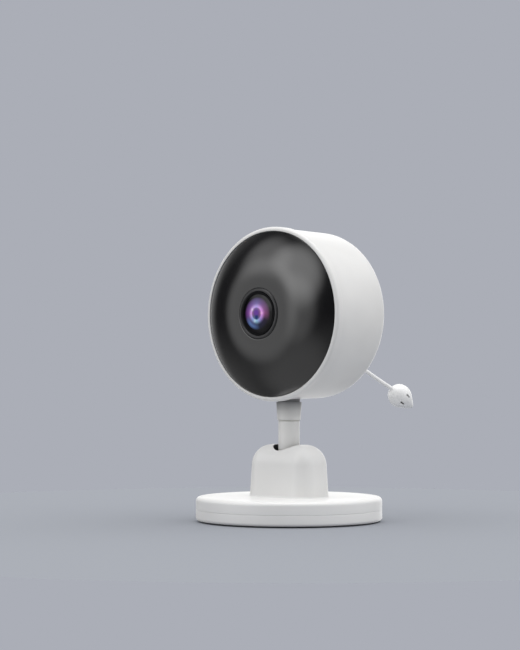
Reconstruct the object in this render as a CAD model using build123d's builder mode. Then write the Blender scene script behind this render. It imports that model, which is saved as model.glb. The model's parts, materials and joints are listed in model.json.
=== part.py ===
from build123d import *
from math import atan, atan2, cos, degrees, pi, radians, sin, sqrt, tan
import os

# Baby monitor camera on a weighted stand, in millimetres.
# Origin: centre of the base's underside. +Z is up and the lens looks along -Y.

os.makedirs("parts", exist_ok=True)


def save(piece, name):
    """Label a finished piece and write it under its node name."""
    piece.part.label = name
    export_step(piece.part, f"parts/{name}.step")


# ---------------------------------------------------------------- driving dimensions

# Base
BASE_R = 40.0
BASE_TOP = 10.7
SEAM_Z = 5.2
COVER_BOTTOM = 0.6
BASE_WALL = 2.0
ROOF = 2.0
FLOOR_TOP = 2.8
TOP_EDGE_R = 1.7
BOTTOM_EDGE_R = 1.2
FOOT_INNER_R, FOOT_OUTER_R = 25.0, 33.0
FOOT_GROOVE_TOP = 1.2
BASE_SCREW_R = 29.0
BALLAST_R, BALLAST_BOTTOM, BALLAST_TOP = 35.0, 3.0, 6.0

# Joint housing, the rounded tower on the base
TOWER_X, TOWER_Y, TOWER_CORNER_R = 35.5, 22.8, 10.0
TOWER_TOP = 33.0
TOWER_INSET = 1.4
SHOULDER_R = 8.0
MOUTH_R = 6.6
FLARE, FLARE_H = 0.7, 0.9

# Ball joint
BALL_R = 6.6
BALL_Z = 25.5
SEAT_R = 8.1
SEAT_HOLE_R = 3.2
SEAT_TOP, SEAT_SPLIT, SEAT_BOTTOM = 28.4, 25.5, 18.0
RUNNING = 0.05
RETAINER_TOP, RETAINER_BOTTOM = 16.4, 14.6
RETAINER_R, RETAINER_X, RETAINER_Y = 9.5, 28.0, 6.4

# Neck
NECK_R = 4.6
NECK_FOOT_Z = BALL_Z + 4.8
NECK_SHOULDER_Z = 43.0
PIN_R, PIN_L = 2.2, 2.5
BALL_POCKET = 3.0
NECK_PILOT_L = 11.0
WASHER_T = 0.5
SWIVEL_WASHER_T = 0.8
SPIGOT_R = 3.6
COLLAR_TOP = 58.2
COLLAR_R_LOW, COLLAR_R_HIGH = 5.05, 5.6
COLLAR_THREAD_R = 4.8
COLLAR_SHOULDER_Z = 51.3
NUT_SEAT_Z = 55.4

# Head: places along Y, radii about the lens axis
AXIS_Z = 88.9
HEAD_R = 37.3
HEAD_R_REAR = 35.9
REAR_Y = 24.8
REAR_CORNER_R = 7.0
BEZEL_FRONT_Y = -12.1
BEZEL_SEAM_Y = -8.6
TONGUE_END_Y = -3.5
FACE_RIM_Y = -11.8
FACE_RIM_R = 35.4
FACE_FRONT_Y = -19.9
FACE_FLAT_R = 12.0
FACE_T = 2.0
FACE_HOLE_R = 10.9
SHELL_INNER_R, SHELL_INNER_R_REAR = 35.0, 33.6
SHELL_INNER_REAR_Y = 20.8
COVER_SEAT_Y = 22.8
COVER_R = 27.2
POST_CIRCLE_R = 22.0
CHASSIS_FRONT_Y, CHASSIS_REAR_Y = -3.5, -1.9
BOARD_FRONT_Y, BOARD_REAR_Y = 2.0, 3.2
IR_BOARD_FRONT_Y, IR_BOARD_REAR_Y = -12.5, -11.3
PORT_BOARD_FRONT_Y, PORT_BOARD_REAR_Y = 15.5, 16.7
SPEAKER_Z, SPEAKER_R = 94.5, 11.5
PORT_X, BUTTON_X, PORT_Z = -11.0, 11.0, 71.5
BUTTON_R = 2.45

# Temperature sensor
LEAD_D = 1.8
LEAD_Z = 71.5
GROMMET_END_Y = 30.8
BULB_R = 5.2
BULB_WAIST = 5.8
PARTING_TURN = 17.5
VENT_TURNS = (-25, 25, 155, 205)
VENT_AT, VENT_L, VENT_W = 6.6, 2.4, 0.9

# Self-tapping screws of 2.2 mm, their pilot and clearance holes, and their heads
SCREW_R, PILOT_R, CLEAR_R, SCREW_HEAD_R = 1.1, 1.12, 1.3, 2.2
# Long screws of 2.5 mm in the neck
LONG_SCREW_R, LONG_PILOT_R, LONG_HEAD_R = 1.25, 1.27, 2.4

# Bottom notch in the bezel tongue, chassis and main board, from the lens axis
NOTCH_TOP = -24.0

HEAD_AXIS = Axis((0, 0, AXIS_Z), (0, 1, 0))
TOP_TAPER = degrees(atan2(TOWER_INSET, TOWER_TOP - BASE_TOP))


def across(y):
    """A plane square to the lens axis: local X is world X, local Y is up, outward is -Y."""
    return Plane(origin=(0, y, AXIS_Z), x_dir=(1, 0, 0), z_dir=(0, -1, 0))


def turned(points):
    """A solid of revolution about the lens axis, from (y, radius) points."""
    with BuildPart() as solid:
        with BuildSketch(Plane.YZ):
            with BuildLine():
                Polyline([(y, AXIS_Z + r) for y, r in points], close=True)
            make_face()
        revolve(axis=HEAD_AXIS)
    return solid.part


def upright(points):
    """A solid of revolution about +Z, from (radius, z) points."""
    with BuildPart() as solid:
        with BuildSketch(Plane.XZ):
            with BuildLine():
                Polyline(points, close=True)
            make_face()
        revolve(axis=Axis.Z)
    return solid.part


def screws_up(places, shank_r, head_r, head_bottom, head_top, tip):
    """Upright pan-head screws whose heads are at the bottom, at (x, y) places."""
    with BuildPart() as group:
        with BuildSketch(Plane.XY.offset(head_bottom)):
            with Locations(*places):
                Circle(head_r)
        extrude(amount=head_top - head_bottom)
        with BuildSketch(Plane.XY.offset(head_top)):
            with Locations(*places):
                Circle(shank_r)
        extrude(amount=tip - head_top)
        with BuildSketch(Plane.XY.offset(head_bottom)):
            with Locations(*places):
                Rectangle(head_r * 1.1, 0.5)
                Rectangle(0.5, head_r * 1.1)
        extrude(amount=0.5, mode=Mode.SUBTRACT)
    return group


# ---------------------------------------------------------------- base

BASE_SCREWS = [
    (BASE_SCREW_R * sx / sqrt(2), BASE_SCREW_R * sy / sqrt(2)) for sx in (-1, 1) for sy in (-1, 1)
]
TOWER_SCREWS = [(sx * 12.4, sy * 5.6) for sx in (-1, 1) for sy in (-1, 1)]
RETAINER_SCREWS = [(-11.6, 0), (11.6, 0)]

with BuildPart() as anti_slip_ring:
    with BuildSketch():
        Circle(FOOT_OUTER_R)
        Circle(FOOT_INNER_R, mode=Mode.SUBTRACT)
    extrude(amount=FOOT_GROOVE_TOP)
save(anti_slip_ring, "anti_slip_ring")

with BuildPart() as base_lower_cover:
    with BuildSketch(Plane.XY.offset(COVER_BOTTOM)):
        Circle(BASE_R)
    extrude(amount=SEAM_Z - COVER_BOTTOM)
    rims = base_lower_cover.edges().filter_by(GeomType.CIRCLE)
    fillet(rims.sort_by(Axis.Z)[:1], BOTTOM_EDGE_R)
    chamfer(base_lower_cover.edges().filter_by(GeomType.CIRCLE).sort_by(Axis.Z)[-1:], 0.2)
    with BuildSketch(Plane.XY.offset(FLOOR_TOP)):
        Circle(BASE_R - BASE_WALL - 1.0)
    extrude(amount=SEAM_Z, mode=Mode.SUBTRACT)
    # Tongue that centres the upper cover
    with BuildSketch(Plane.XY.offset(SEAM_Z - 1.5)):
        Circle(BASE_R - BASE_WALL - 0.1)
        Circle(BASE_R - BASE_WALL - 1.2, mode=Mode.SUBTRACT)
    extrude(amount=3.0)
    with BuildSketch(Plane.XY.offset(COVER_BOTTOM)):
        Circle(FOOT_OUTER_R)
        Circle(FOOT_INNER_R, mode=Mode.SUBTRACT)
    extrude(amount=FOOT_GROOVE_TOP - COVER_BOTTOM, mode=Mode.SUBTRACT)
    with BuildSketch(Plane.XY.offset(FOOT_GROOVE_TOP)):
        with Locations(*BASE_SCREWS):
            Circle(SCREW_HEAD_R + 0.1)
    extrude(amount=1.0, mode=Mode.SUBTRACT)
    with BuildSketch(Plane.XY.offset(FOOT_GROOVE_TOP)):
        with Locations(*BASE_SCREWS):
            Circle(CLEAR_R)
    extrude(amount=4.0, mode=Mode.SUBTRACT)
save(base_lower_cover, "base_lower_cover")

with BuildPart() as base_upper_cover:
    with BuildSketch(Plane.XY.offset(SEAM_Z)):
        Circle(BASE_R)
    extrude(amount=BASE_TOP - SEAM_Z)
    rims = base_upper_cover.edges().filter_by(GeomType.CIRCLE)
    fillet(rims.sort_by(Axis.Z)[-1:], TOP_EDGE_R)
    chamfer(base_upper_cover.edges().filter_by(GeomType.CIRCLE).sort_by(Axis.Z)[:1], 0.2)
    with BuildSketch(Plane.XY.offset(SEAM_Z)):
        Circle(BASE_R - BASE_WALL)
    extrude(amount=BASE_TOP - ROOF - SEAM_Z, mode=Mode.SUBTRACT)
    with BuildSketch(Plane.XY.offset(FLOOR_TOP)):
        with Locations(*BASE_SCREWS):
            Circle(2.8)
    extrude(amount=BASE_TOP - ROOF - FLOOR_TOP)
    with BuildSketch(Plane.XY.offset(FLOOR_TOP)):
        with Locations(*BASE_SCREWS):
            Circle(PILOT_R)
    extrude(amount=5.5, mode=Mode.SUBTRACT)
    with BuildSketch(Plane.XY.offset(BASE_TOP - ROOF)):
        with Locations(*TOWER_SCREWS):
            Circle(CLEAR_R)
    extrude(amount=ROOF, mode=Mode.SUBTRACT)
save(base_upper_cover, "base_upper_cover")

with BuildPart() as ballast_plate:
    with BuildSketch(Plane.XY.offset(BALLAST_BOTTOM)):
        Circle(BALLAST_R)
        Circle(8.0, mode=Mode.SUBTRACT)
        with Locations(*BASE_SCREWS):
            Circle(3.1, mode=Mode.SUBTRACT)
    extrude(amount=BALLAST_TOP - BALLAST_BOTTOM)
save(ballast_plate, "ballast_plate")

base_screws = screws_up(
    BASE_SCREWS, SCREW_R, SCREW_HEAD_R, FOOT_GROOVE_TOP + 0.05, FOOT_GROOVE_TOP + 1.0, 8.0
)
save(base_screws, "base_screws")

# ---------------------------------------------------------------- joint housing

with BuildPart() as joint_housing:
    with BuildSketch(Plane.XY.offset(BASE_TOP)):
        RectangleRounded(TOWER_X, TOWER_Y, TOWER_CORNER_R)
    extrude(amount=TOWER_TOP - BASE_TOP, taper=TOP_TAPER)
    fillet(joint_housing.faces().sort_by(Axis.Z)[-1].edges(), SHOULDER_R)
    # Small flare where the tower stands on the base
    with BuildSketch(Plane.XY.offset(BASE_TOP)):
        RectangleRounded(TOWER_X + 2 * FLARE, TOWER_Y + 2 * FLARE, TOWER_CORNER_R + FLARE)
    extrude(amount=FLARE_H, taper=38)
    # Bore of the ball seat, its mouth, and the retainer's pocket below
    with BuildSketch(Plane.XY.offset(BASE_TOP)):
        Circle(SEAT_R + RUNNING)
    extrude(amount=SEAT_TOP + 0.1 - BASE_TOP, mode=Mode.SUBTRACT)
    with BuildSketch(Plane.XY.offset(SEAT_TOP)):
        Circle(MOUTH_R)
    extrude(amount=TOWER_TOP, mode=Mode.SUBTRACT)
    with BuildSketch(Plane.XY.offset(BASE_TOP)):
        Circle(RETAINER_R + 0.2)
        Rectangle(RETAINER_X + 0.6, RETAINER_Y + 0.4)
    extrude(amount=RETAINER_TOP - BASE_TOP, mode=Mode.SUBTRACT)
    with BuildSketch(Plane.XY.offset(BASE_TOP)):
        with Locations(*TOWER_SCREWS):
            Circle(PILOT_R)
    extrude(amount=5.2, mode=Mode.SUBTRACT)
    with BuildSketch(Plane.XY.offset(RETAINER_TOP)):
        with Locations(*RETAINER_SCREWS):
            Circle(PILOT_R)
    extrude(amount=6.0, mode=Mode.SUBTRACT)
save(joint_housing, "joint_housing")

housing_screws = screws_up(TOWER_SCREWS, SCREW_R, SCREW_HEAD_R - 0.1, 7.5, BASE_TOP - ROOF, 15.5)
save(housing_screws, "housing_screws")

with BuildPart() as spring_retainer:
    with BuildSketch(Plane.XY.offset(RETAINER_BOTTOM)):
        Circle(RETAINER_R)
        Rectangle(RETAINER_X, RETAINER_Y)
        Circle(3.0, mode=Mode.SUBTRACT)
        with Locations(*RETAINER_SCREWS):
            Circle(CLEAR_R, mode=Mode.SUBTRACT)
    extrude(amount=RETAINER_TOP - RETAINER_BOTTOM)
save(spring_retainer, "spring_retainer")

retainer_screws = screws_up(RETAINER_SCREWS, SCREW_R, SCREW_HEAD_R - 0.1, 13.3, RETAINER_BOTTOM, 21.5)
save(retainer_screws, "retainer_screws")

# Two cupped spring washers, rim to rim, press the seat cup up
SPRING_INNER_R, SPRING_OUTER_R, SPRING_T, SPRING_CUP = 4.2, 7.6, 0.4, 0.36
SPRING_GAP = 0.02
SPRING_LOW_Z, SPRING_HIGH_Z = RETAINER_TOP + SPRING_GAP, SEAT_BOTTOM - SPRING_GAP

with BuildPart() as disc_springs:
    for z, way in ((SPRING_LOW_Z, 1), (SPRING_HIGH_Z, -1)):
        section = [
            (SPRING_INNER_R, z),
            (SPRING_INNER_R, z + way * SPRING_T),
            (SPRING_OUTER_R, z + way * (SPRING_T + SPRING_CUP)),
            (SPRING_OUTER_R, z + way * SPRING_CUP),
        ]
        add(upright(section))
save(disc_springs, "disc_springs")

# ---------------------------------------------------------------- ball seat

with BuildPart() as seat_cup:
    with BuildSketch(Plane.XY.offset(SEAT_BOTTOM)):
        Circle(SEAT_R)
        Circle(SEAT_HOLE_R, mode=Mode.SUBTRACT)
    extrude(amount=SEAT_SPLIT - SEAT_BOTTOM)
    with Locations((0, 0, BALL_Z)):
        Sphere(BALL_R + RUNNING, mode=Mode.SUBTRACT)
save(seat_cup, "seat_cup")

with BuildPart() as seat_ring:
    with BuildSketch(Plane.XY.offset(SEAT_SPLIT)):
        Circle(SEAT_R)
    extrude(amount=SEAT_TOP - SEAT_SPLIT)
    with Locations((0, 0, BALL_Z)):
        Sphere(BALL_R + RUNNING, mode=Mode.SUBTRACT)
save(seat_ring, "seat_ring")

# ---------------------------------------------------------------- neck

with BuildPart() as pivot_ball:
    with Locations((0, 0, BALL_Z)):
        Sphere(BALL_R)
    with BuildSketch(Plane.XY.offset(NECK_FOOT_Z)):
        Circle(BALL_R)
    extrude(amount=BALL_R, mode=Mode.SUBTRACT)
    with BuildSketch(Plane.XY.offset(NECK_FOOT_Z - PIN_L)):
        Circle(PIN_R + RUNNING)
    extrude(amount=PIN_L, mode=Mode.SUBTRACT)
    with BuildSketch(Plane.XY.offset(BALL_Z - BALL_R)):
        Circle(LONG_HEAD_R + 0.1)
    extrude(amount=BALL_POCKET, mode=Mode.SUBTRACT)
    with BuildSketch(Plane.XY.offset(BALL_Z - BALL_R)):
        Circle(LONG_SCREW_R + RUNNING)
    extrude(amount=2 * BALL_R, mode=Mode.SUBTRACT)
save(pivot_ball, "pivot_ball")

ball_screw = screws_up(
    [(0, 0)], LONG_SCREW_R, LONG_HEAD_R, 20.0, BALL_Z - BALL_R + BALL_POCKET, 38.0
)
save(ball_screw, "ball_screw")

with BuildPart() as neck:
    add(
        upright(
            [
                (0, NECK_FOOT_Z - PIN_L),
                (PIN_R, NECK_FOOT_Z - PIN_L),
                (PIN_R, NECK_FOOT_Z),
                (NECK_R, NECK_FOOT_Z),
                (NECK_R, NECK_SHOULDER_Z),
                (SPIGOT_R, NECK_SHOULDER_Z),
                (SPIGOT_R, COLLAR_TOP + RUNNING),
                (0, COLLAR_TOP + RUNNING),
            ]
        )
    )
    with BuildSketch(Plane.XY.offset(NECK_FOOT_Z - PIN_L)):
        Circle(LONG_PILOT_R)
    extrude(amount=NECK_PILOT_L, mode=Mode.SUBTRACT)
    with BuildSketch(Plane.XY.offset(COLLAR_TOP + 1.0 - NECK_PILOT_L)):
        Circle(LONG_PILOT_R)
    extrude(amount=NECK_PILOT_L, mode=Mode.SUBTRACT)
save(neck, "neck")

with BuildPart() as friction_washer:
    with BuildSketch(Plane.XY.offset(NECK_SHOULDER_Z)):
        Circle(NECK_R)
        Circle(SPIGOT_R + RUNNING, mode=Mode.SUBTRACT)
    extrude(amount=WASHER_T)
save(friction_washer, "friction_washer")

with BuildPart() as swivel_washer:
    with BuildSketch(Plane.XY.offset(COLLAR_TOP + RUNNING)):
        Circle(4.7)
        Circle(LONG_SCREW_R + RUNNING, mode=Mode.SUBTRACT)
    extrude(amount=SWIVEL_WASHER_T)
save(swivel_washer, "swivel_washer")

with BuildPart() as swivel_screw:
    with BuildSketch(Plane.XY.offset(COLLAR_TOP + RUNNING + SWIVEL_WASHER_T)):
        Circle(LONG_HEAD_R)
    extrude(amount=1.7)
    with BuildSketch(Plane.XY.offset(COLLAR_TOP + RUNNING + SWIVEL_WASHER_T + 1.2)):
        Rectangle(2.8, 0.6)
        Rectangle(0.6, 2.8)
    extrude(amount=1.0, mode=Mode.SUBTRACT)
    with BuildSketch(Plane.XY.offset(COLLAR_TOP - 9.0)):
        Circle(LONG_SCREW_R)
    extrude(amount=9.0 + RUNNING + SWIVEL_WASHER_T)
save(swivel_screw, "swivel_screw")

# ---------------------------------------------------------------- head: neck collar

COLLAR_BOTTOM = NECK_SHOULDER_Z + WASHER_T + RUNNING

with BuildPart() as neck_collar:
    add(
        upright(
            [
                (SPIGOT_R + RUNNING, COLLAR_BOTTOM),
                (COLLAR_R_LOW, COLLAR_BOTTOM),
                (COLLAR_R_HIGH, COLLAR_SHOULDER_Z),
                (COLLAR_THREAD_R, COLLAR_SHOULDER_Z),
                (COLLAR_THREAD_R, COLLAR_TOP),
                (SPIGOT_R + RUNNING, COLLAR_TOP),
            ]
        )
    )
save(neck_collar, "neck_collar")

with BuildPart() as collar_nut:
    with BuildSketch(Plane.XY.offset(NUT_SEAT_Z)):
        RegularPolygon(8.2, 6)
        Circle(COLLAR_THREAD_R + 0.02, mode=Mode.SUBTRACT)
    extrude(amount=2.4)
save(collar_nut, "collar_nut")

# ---------------------------------------------------------------- head: shell, bezel, face

with BuildPart() as head_shell:
    add(
        turned(
            [
                (BEZEL_SEAM_Y, SHELL_INNER_R),
                (BEZEL_SEAM_Y, HEAD_R),
                (REAR_Y, HEAD_R_REAR),
                (REAR_Y, COVER_R + 0.15),
                (COVER_SEAT_Y, COVER_R + 0.15),
                (COVER_SEAT_Y, 25.0),
                (SHELL_INNER_REAR_Y, 25.0),
                (SHELL_INNER_REAR_Y, SHELL_INNER_R_REAR),
            ]
        )
    )
    rings = head_shell.edges().filter_by(GeomType.CIRCLE)
    outer_rear = rings.filter_by(lambda e: abs(e.radius - HEAD_R_REAR) < 0.01)
    fillet(outer_rear, REAR_CORNER_R)
    rings = head_shell.edges().filter_by(GeomType.CIRCLE)
    inner_rear = rings.filter_by(lambda e: abs(e.radius - SHELL_INNER_R_REAR) < 0.01)
    fillet(inner_rear, 4.0)
    rings = head_shell.edges().filter_by(GeomType.CIRCLE)
    seam = rings.filter_by(lambda e: abs(e.radius - HEAD_R) < 0.01)
    chamfer(seam, 0.2)
    # Flat pads inside and outside for the collar and its nut
    with BuildSketch(Plane.XY.offset(53.1)):
        Circle(8.5)
    extrude(amount=NUT_SEAT_Z - 53.1)
    with BuildSketch(Plane.XY.offset(COLLAR_SHOULDER_Z)):
        Circle(COLLAR_R_HIGH + 0.1)
    extrude(amount=2.0)
    with BuildSketch(Plane.XY.offset(COLLAR_SHOULDER_Z)):
        Circle(COLLAR_THREAD_R + 0.05)
    extrude(amount=5.0, mode=Mode.SUBTRACT)
save(head_shell, "head_shell")

with BuildPart() as bezel_ring:
    add(
        turned(
            [
                (BEZEL_FRONT_Y, FACE_RIM_R + 0.1),
                (BEZEL_FRONT_Y, HEAD_R),
                (BEZEL_SEAM_Y, HEAD_R),
                (BEZEL_SEAM_Y, 34.6),
                (TONGUE_END_Y, 34.6),
                (TONGUE_END_Y, 33.4),
                (FACE_RIM_Y + FACE_T, 33.4),
                (FACE_RIM_Y + FACE_T, FACE_RIM_R + 0.1),
            ]
        )
    )
    rings = bezel_ring.edges().filter_by(GeomType.CIRCLE)
    outer_rings = rings.filter_by(lambda e: abs(e.radius - HEAD_R) < 0.01).sort_by(Axis.Y)
    fillet(outer_rings[:1], 1.3)
    chamfer(outer_rings[-1:], 0.2)
    # The tongue makes room for the neck collar and its nut
    with BuildSketch(across(TONGUE_END_Y)):
        with Locations((0, NOTCH_TOP - 10.0)):
            Rectangle(24.0, 20.0)
    extrude(amount=TONGUE_END_Y - BEZEL_SEAM_Y, mode=Mode.SUBTRACT)
save(bezel_ring, "bezel_ring")

# The face is a shallow dome: a flat middle, then one arc out to the rim
DOME_DEPTH = FACE_RIM_Y - FACE_FRONT_Y
DOME_TURN = 2 * atan(DOME_DEPTH / (FACE_RIM_R - FACE_FLAT_R))
DOME_R = DOME_DEPTH / (1 - cos(DOME_TURN))


def dome_point(turn, y):
    """A point of the dome's arc on the YZ plane, y away from the front surface."""
    return (FACE_FRONT_Y + y + DOME_R * (1 - cos(turn)), AXIS_Z + FACE_FLAT_R + DOME_R * sin(turn))


with BuildPart() as face_panel:
    with BuildSketch(Plane.YZ):
        with BuildLine():
            Line((FACE_FRONT_Y, AXIS_Z + FACE_HOLE_R), dome_point(0, 0))
            ThreePointArc(dome_point(0, 0), dome_point(DOME_TURN / 2, 0), dome_point(DOME_TURN, 0))
            Line(dome_point(DOME_TURN, 0), dome_point(DOME_TURN, FACE_T))
            ThreePointArc(
                dome_point(DOME_TURN, FACE_T), dome_point(DOME_TURN / 2, FACE_T), dome_point(0, FACE_T)
            )
            Line(dome_point(0, FACE_T), (FACE_FRONT_Y + FACE_T, AXIS_Z + FACE_HOLE_R))
            Line(
                (FACE_FRONT_Y + FACE_T, AXIS_Z + FACE_HOLE_R),
                (FACE_FRONT_Y, AXIS_Z + FACE_HOLE_R),
            )
        make_face()
    revolve(axis=HEAD_AXIS)
save(face_panel, "face_panel")

# ---------------------------------------------------------------- head: lens

FACE_BACK_Y = FACE_FRONT_Y + FACE_T
BEZEL_BORE_R = 9.2
HOOD_R, HOOD_FLANGE_R, HOOD_BORE_R = 9.1, 10.5, 7.0
HOOD_FRONT_Y = FACE_FRONT_Y - 0.2
GLASS_SEAT_Y = FACE_BACK_Y + 0.3
GLASS_R, GLASS_APEX_Y, GLASS_SAG = 8.4, -21.2, 1.2
FLANGE_T = 1.0

with BuildPart() as lens_bezel:
    add(
        turned(
            [
                (FACE_FRONT_Y - 0.4, BEZEL_BORE_R),
                (FACE_FRONT_Y - 0.4, BEZEL_BORE_R + 1.2),
                (FACE_FRONT_Y, FACE_HOLE_R - 0.05),
                (FACE_BACK_Y, FACE_HOLE_R - 0.05),
                (FACE_BACK_Y, FACE_FLAT_R),
                (FACE_BACK_Y + FLANGE_T, FACE_FLAT_R),
                (FACE_BACK_Y + FLANGE_T, BEZEL_BORE_R),
            ]
        )
    )
save(lens_bezel, "lens_bezel")

# The hood holds the domed front element in front of the barrel
with BuildPart() as lens_hood:
    add(
        turned(
            [
                (HOOD_FRONT_Y, GLASS_R + RUNNING),
                (HOOD_FRONT_Y, HOOD_R),
                (FACE_BACK_Y + FLANGE_T, HOOD_R),
                (FACE_BACK_Y + FLANGE_T, HOOD_FLANGE_R),
                (FACE_BACK_Y + 2 * FLANGE_T, HOOD_FLANGE_R),
                (FACE_BACK_Y + 2 * FLANGE_T, HOOD_BORE_R),
                (GLASS_SEAT_Y, HOOD_BORE_R),
                (GLASS_SEAT_Y, GLASS_R + RUNNING),
            ]
        )
    )
save(lens_hood, "lens_hood")

GLASS_CURVE_R = (GLASS_R**2 + GLASS_SAG**2) / (2 * GLASS_SAG)

with BuildPart() as front_lens_element:
    with BuildSketch(across(GLASS_SEAT_Y)):
        Circle(GLASS_R)
    extrude(amount=GLASS_SEAT_Y - GLASS_APEX_Y)
    with Locations((0, GLASS_APEX_Y + GLASS_CURVE_R, AXIS_Z)):
        Sphere(GLASS_CURVE_R, mode=Mode.INTERSECT)
save(front_lens_element, "front_lens_element")

# Standard 12 mm barrel with a wider front, bored for its two inner elements
BARREL_R, BARREL_FRONT_R = 6.0, 6.9
BARREL_FRONT_Y, BARREL_STEP_Y, BARREL_BACK_Y = -17.4, -12.0, -1.0
FRONT_BORE_R, REAR_BORE_R, STOP_R = 6.1, 4.2, 2.0
FRONT_BORE_END_Y, REAR_BORE_END_Y = -15.0, -9.0

with BuildPart() as lens_barrel:
    add(
        turned(
            [
                (BARREL_FRONT_Y, FRONT_BORE_R),
                (BARREL_FRONT_Y, BARREL_FRONT_R),
                (BARREL_STEP_Y, BARREL_FRONT_R),
                (BARREL_STEP_Y, BARREL_R),
                (BARREL_BACK_Y, BARREL_R),
                (BARREL_BACK_Y, REAR_BORE_R),
                (REAR_BORE_END_Y, REAR_BORE_R),
                (REAR_BORE_END_Y, STOP_R),
                (REAR_BORE_END_Y - 2.0, STOP_R),
                (FRONT_BORE_END_Y, FRONT_BORE_R),
            ]
        )
    )
save(lens_barrel, "lens_barrel")

with BuildPart() as second_lens_element:
    with BuildSketch(across(FRONT_BORE_END_Y - 0.1)):
        Circle(FRONT_BORE_R - RUNNING)
    extrude(amount=2.0)
save(second_lens_element, "second_lens_element")

with BuildPart() as rear_lens_element:
    with BuildSketch(across(BARREL_BACK_Y - 0.4)):
        Circle(REAR_BORE_R - RUNNING)
    extrude(amount=3.2)
save(rear_lens_element, "rear_lens_element")

HOLDER_SCREW_X = 11.0

with BuildPart() as lens_holder:
    with BuildSketch(across(BOARD_FRONT_Y)):
        RectangleRounded(16.5, 16.5, 1.5)
    extrude(amount=9.0)
    with BuildSketch(across(BOARD_FRONT_Y)):
        RectangleRounded(27.0, 6.0, 2.0)
    extrude(amount=2.6)
    with BuildSketch(across(BOARD_FRONT_Y)):
        Circle(6.03)
        Rectangle(10.4, 10.4)
    extrude(amount=2.0, mode=Mode.SUBTRACT)
    with BuildSketch(across(BOARD_FRONT_Y)):
        Circle(6.03)
    extrude(amount=10.0, mode=Mode.SUBTRACT)
    with BuildSketch(across(BOARD_FRONT_Y)):
        with Locations((-HOLDER_SCREW_X, 0), (HOLDER_SCREW_X, 0)):
            Circle(0.82)
    extrude(amount=2.2, mode=Mode.SUBTRACT)
save(lens_holder, "lens_holder")

with BuildPart() as lens_holder_screws:
    with BuildSketch(across(BOARD_REAR_Y + 1.2)):
        with Locations((-HOLDER_SCREW_X, 0), (HOLDER_SCREW_X, 0)):
            Circle(1.6)
    extrude(amount=1.2)
    with BuildSketch(across(BOARD_REAR_Y)):
        with Locations((-HOLDER_SCREW_X, 0), (HOLDER_SCREW_X, 0)):
            Circle(0.8)
    extrude(amount=3.2)
save(lens_holder_screws, "lens_holder_screws")

with BuildPart() as image_sensor:
    with BuildSketch(across(BOARD_FRONT_Y)):
        Rectangle(8.0, 8.0)
    extrude(amount=1.0)
save(image_sensor, "image_sensor")

# ---------------------------------------------------------------- head: chassis and boards

POSTS = [(0, POST_CIRCLE_R), (-19.05, -11.0), (19.05, -11.0)]
IR_POSTS = [(-24.0, 0), (24.0, 0), (0, 26.0)]
CABLE_H = 16.4

with BuildPart() as chassis:
    with BuildSketch(across(CHASSIS_REAR_Y)):
        Circle(34.2)
        Circle(14.5, mode=Mode.SUBTRACT)
        with Locations((0, NOTCH_TOP - 10.0)):
            Rectangle(24.0, 20.0, mode=Mode.SUBTRACT)
        with Locations((0, CABLE_H)):
            Rectangle(10.0, 1.6, mode=Mode.SUBTRACT)
    extrude(amount=CHASSIS_REAR_Y - CHASSIS_FRONT_Y)
    with BuildSketch(across(BOARD_FRONT_Y)):
        with Locations(*POSTS):
            Circle(3.6)
    extrude(amount=BOARD_FRONT_Y - CHASSIS_REAR_Y)
    with BuildSketch(across(COVER_SEAT_Y)):
        with Locations(*POSTS):
            Circle(2.6)
    extrude(amount=COVER_SEAT_Y - BOARD_FRONT_Y)
    with BuildSketch(across(COVER_SEAT_Y)):
        with Locations(*POSTS):
            Circle(PILOT_R)
    extrude(amount=10.0, mode=Mode.SUBTRACT)
    with BuildSketch(across(CHASSIS_FRONT_Y)):
        with Locations(*IR_POSTS):
            Circle(1.6)
    extrude(amount=CHASSIS_FRONT_Y - IR_BOARD_REAR_Y)
save(chassis, "chassis")

with BuildPart() as main_board:
    with BuildSketch(across(BOARD_REAR_Y)):
        Circle(31.0)
        with Locations((0, NOTCH_TOP - 10.0)):
            Rectangle(24.0, 20.0, mode=Mode.SUBTRACT)
        with Locations(*POSTS):
            Circle(2.7, mode=Mode.SUBTRACT)
        with Locations((-HOLDER_SCREW_X, 0), (HOLDER_SCREW_X, 0)):
            Circle(0.9, mode=Mode.SUBTRACT)
    extrude(amount=BOARD_REAR_Y - BOARD_FRONT_Y)
save(main_board, "main_board")

with BuildPart() as board_chips:
    with BuildSketch(across(BOARD_REAR_Y + 1.2)):
        Rectangle(12.0, 12.0)
        with Locations((-14.0, 10.0)):
            Rectangle(6.0, 5.0)
        with Locations((15.5, -21.0)):
            Rectangle(5.0, 4.0)
        with Locations((-15.5, -21.0)):
            Rectangle(7.0, 4.0)
    extrude(amount=1.2)
save(board_chips, "board_chips")

with BuildPart() as radio_shield:
    with BuildSketch(across(BOARD_REAR_Y + 2.4)):
        with Locations((16.0, 14.0)):
            Rectangle(14.0, 11.0)
    extrude(amount=2.4)
    with BuildSketch(across(BOARD_REAR_Y + 2.1)):
        with Locations((16.0, 14.0)):
            Rectangle(13.4, 10.4)
    extrude(amount=2.1, mode=Mode.SUBTRACT)
save(radio_shield, "radio_shield")

with BuildPart() as antenna_board:
    with BuildSketch(across(CHASSIS_REAR_Y + 1.0)):
        with Locations((0, 29.0)):
            Rectangle(24.0, 5.0)
    extrude(amount=1.0)
save(antenna_board, "antenna_board")

LED_CIRCLE_R = 21.0
LED_COUNT = 8

with BuildPart() as ir_board:
    with BuildSketch(across(IR_BOARD_REAR_Y)):
        Circle(29.0)
        Circle(14.0, mode=Mode.SUBTRACT)
    extrude(amount=IR_BOARD_REAR_Y - IR_BOARD_FRONT_Y)
save(ir_board, "ir_board")

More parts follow.
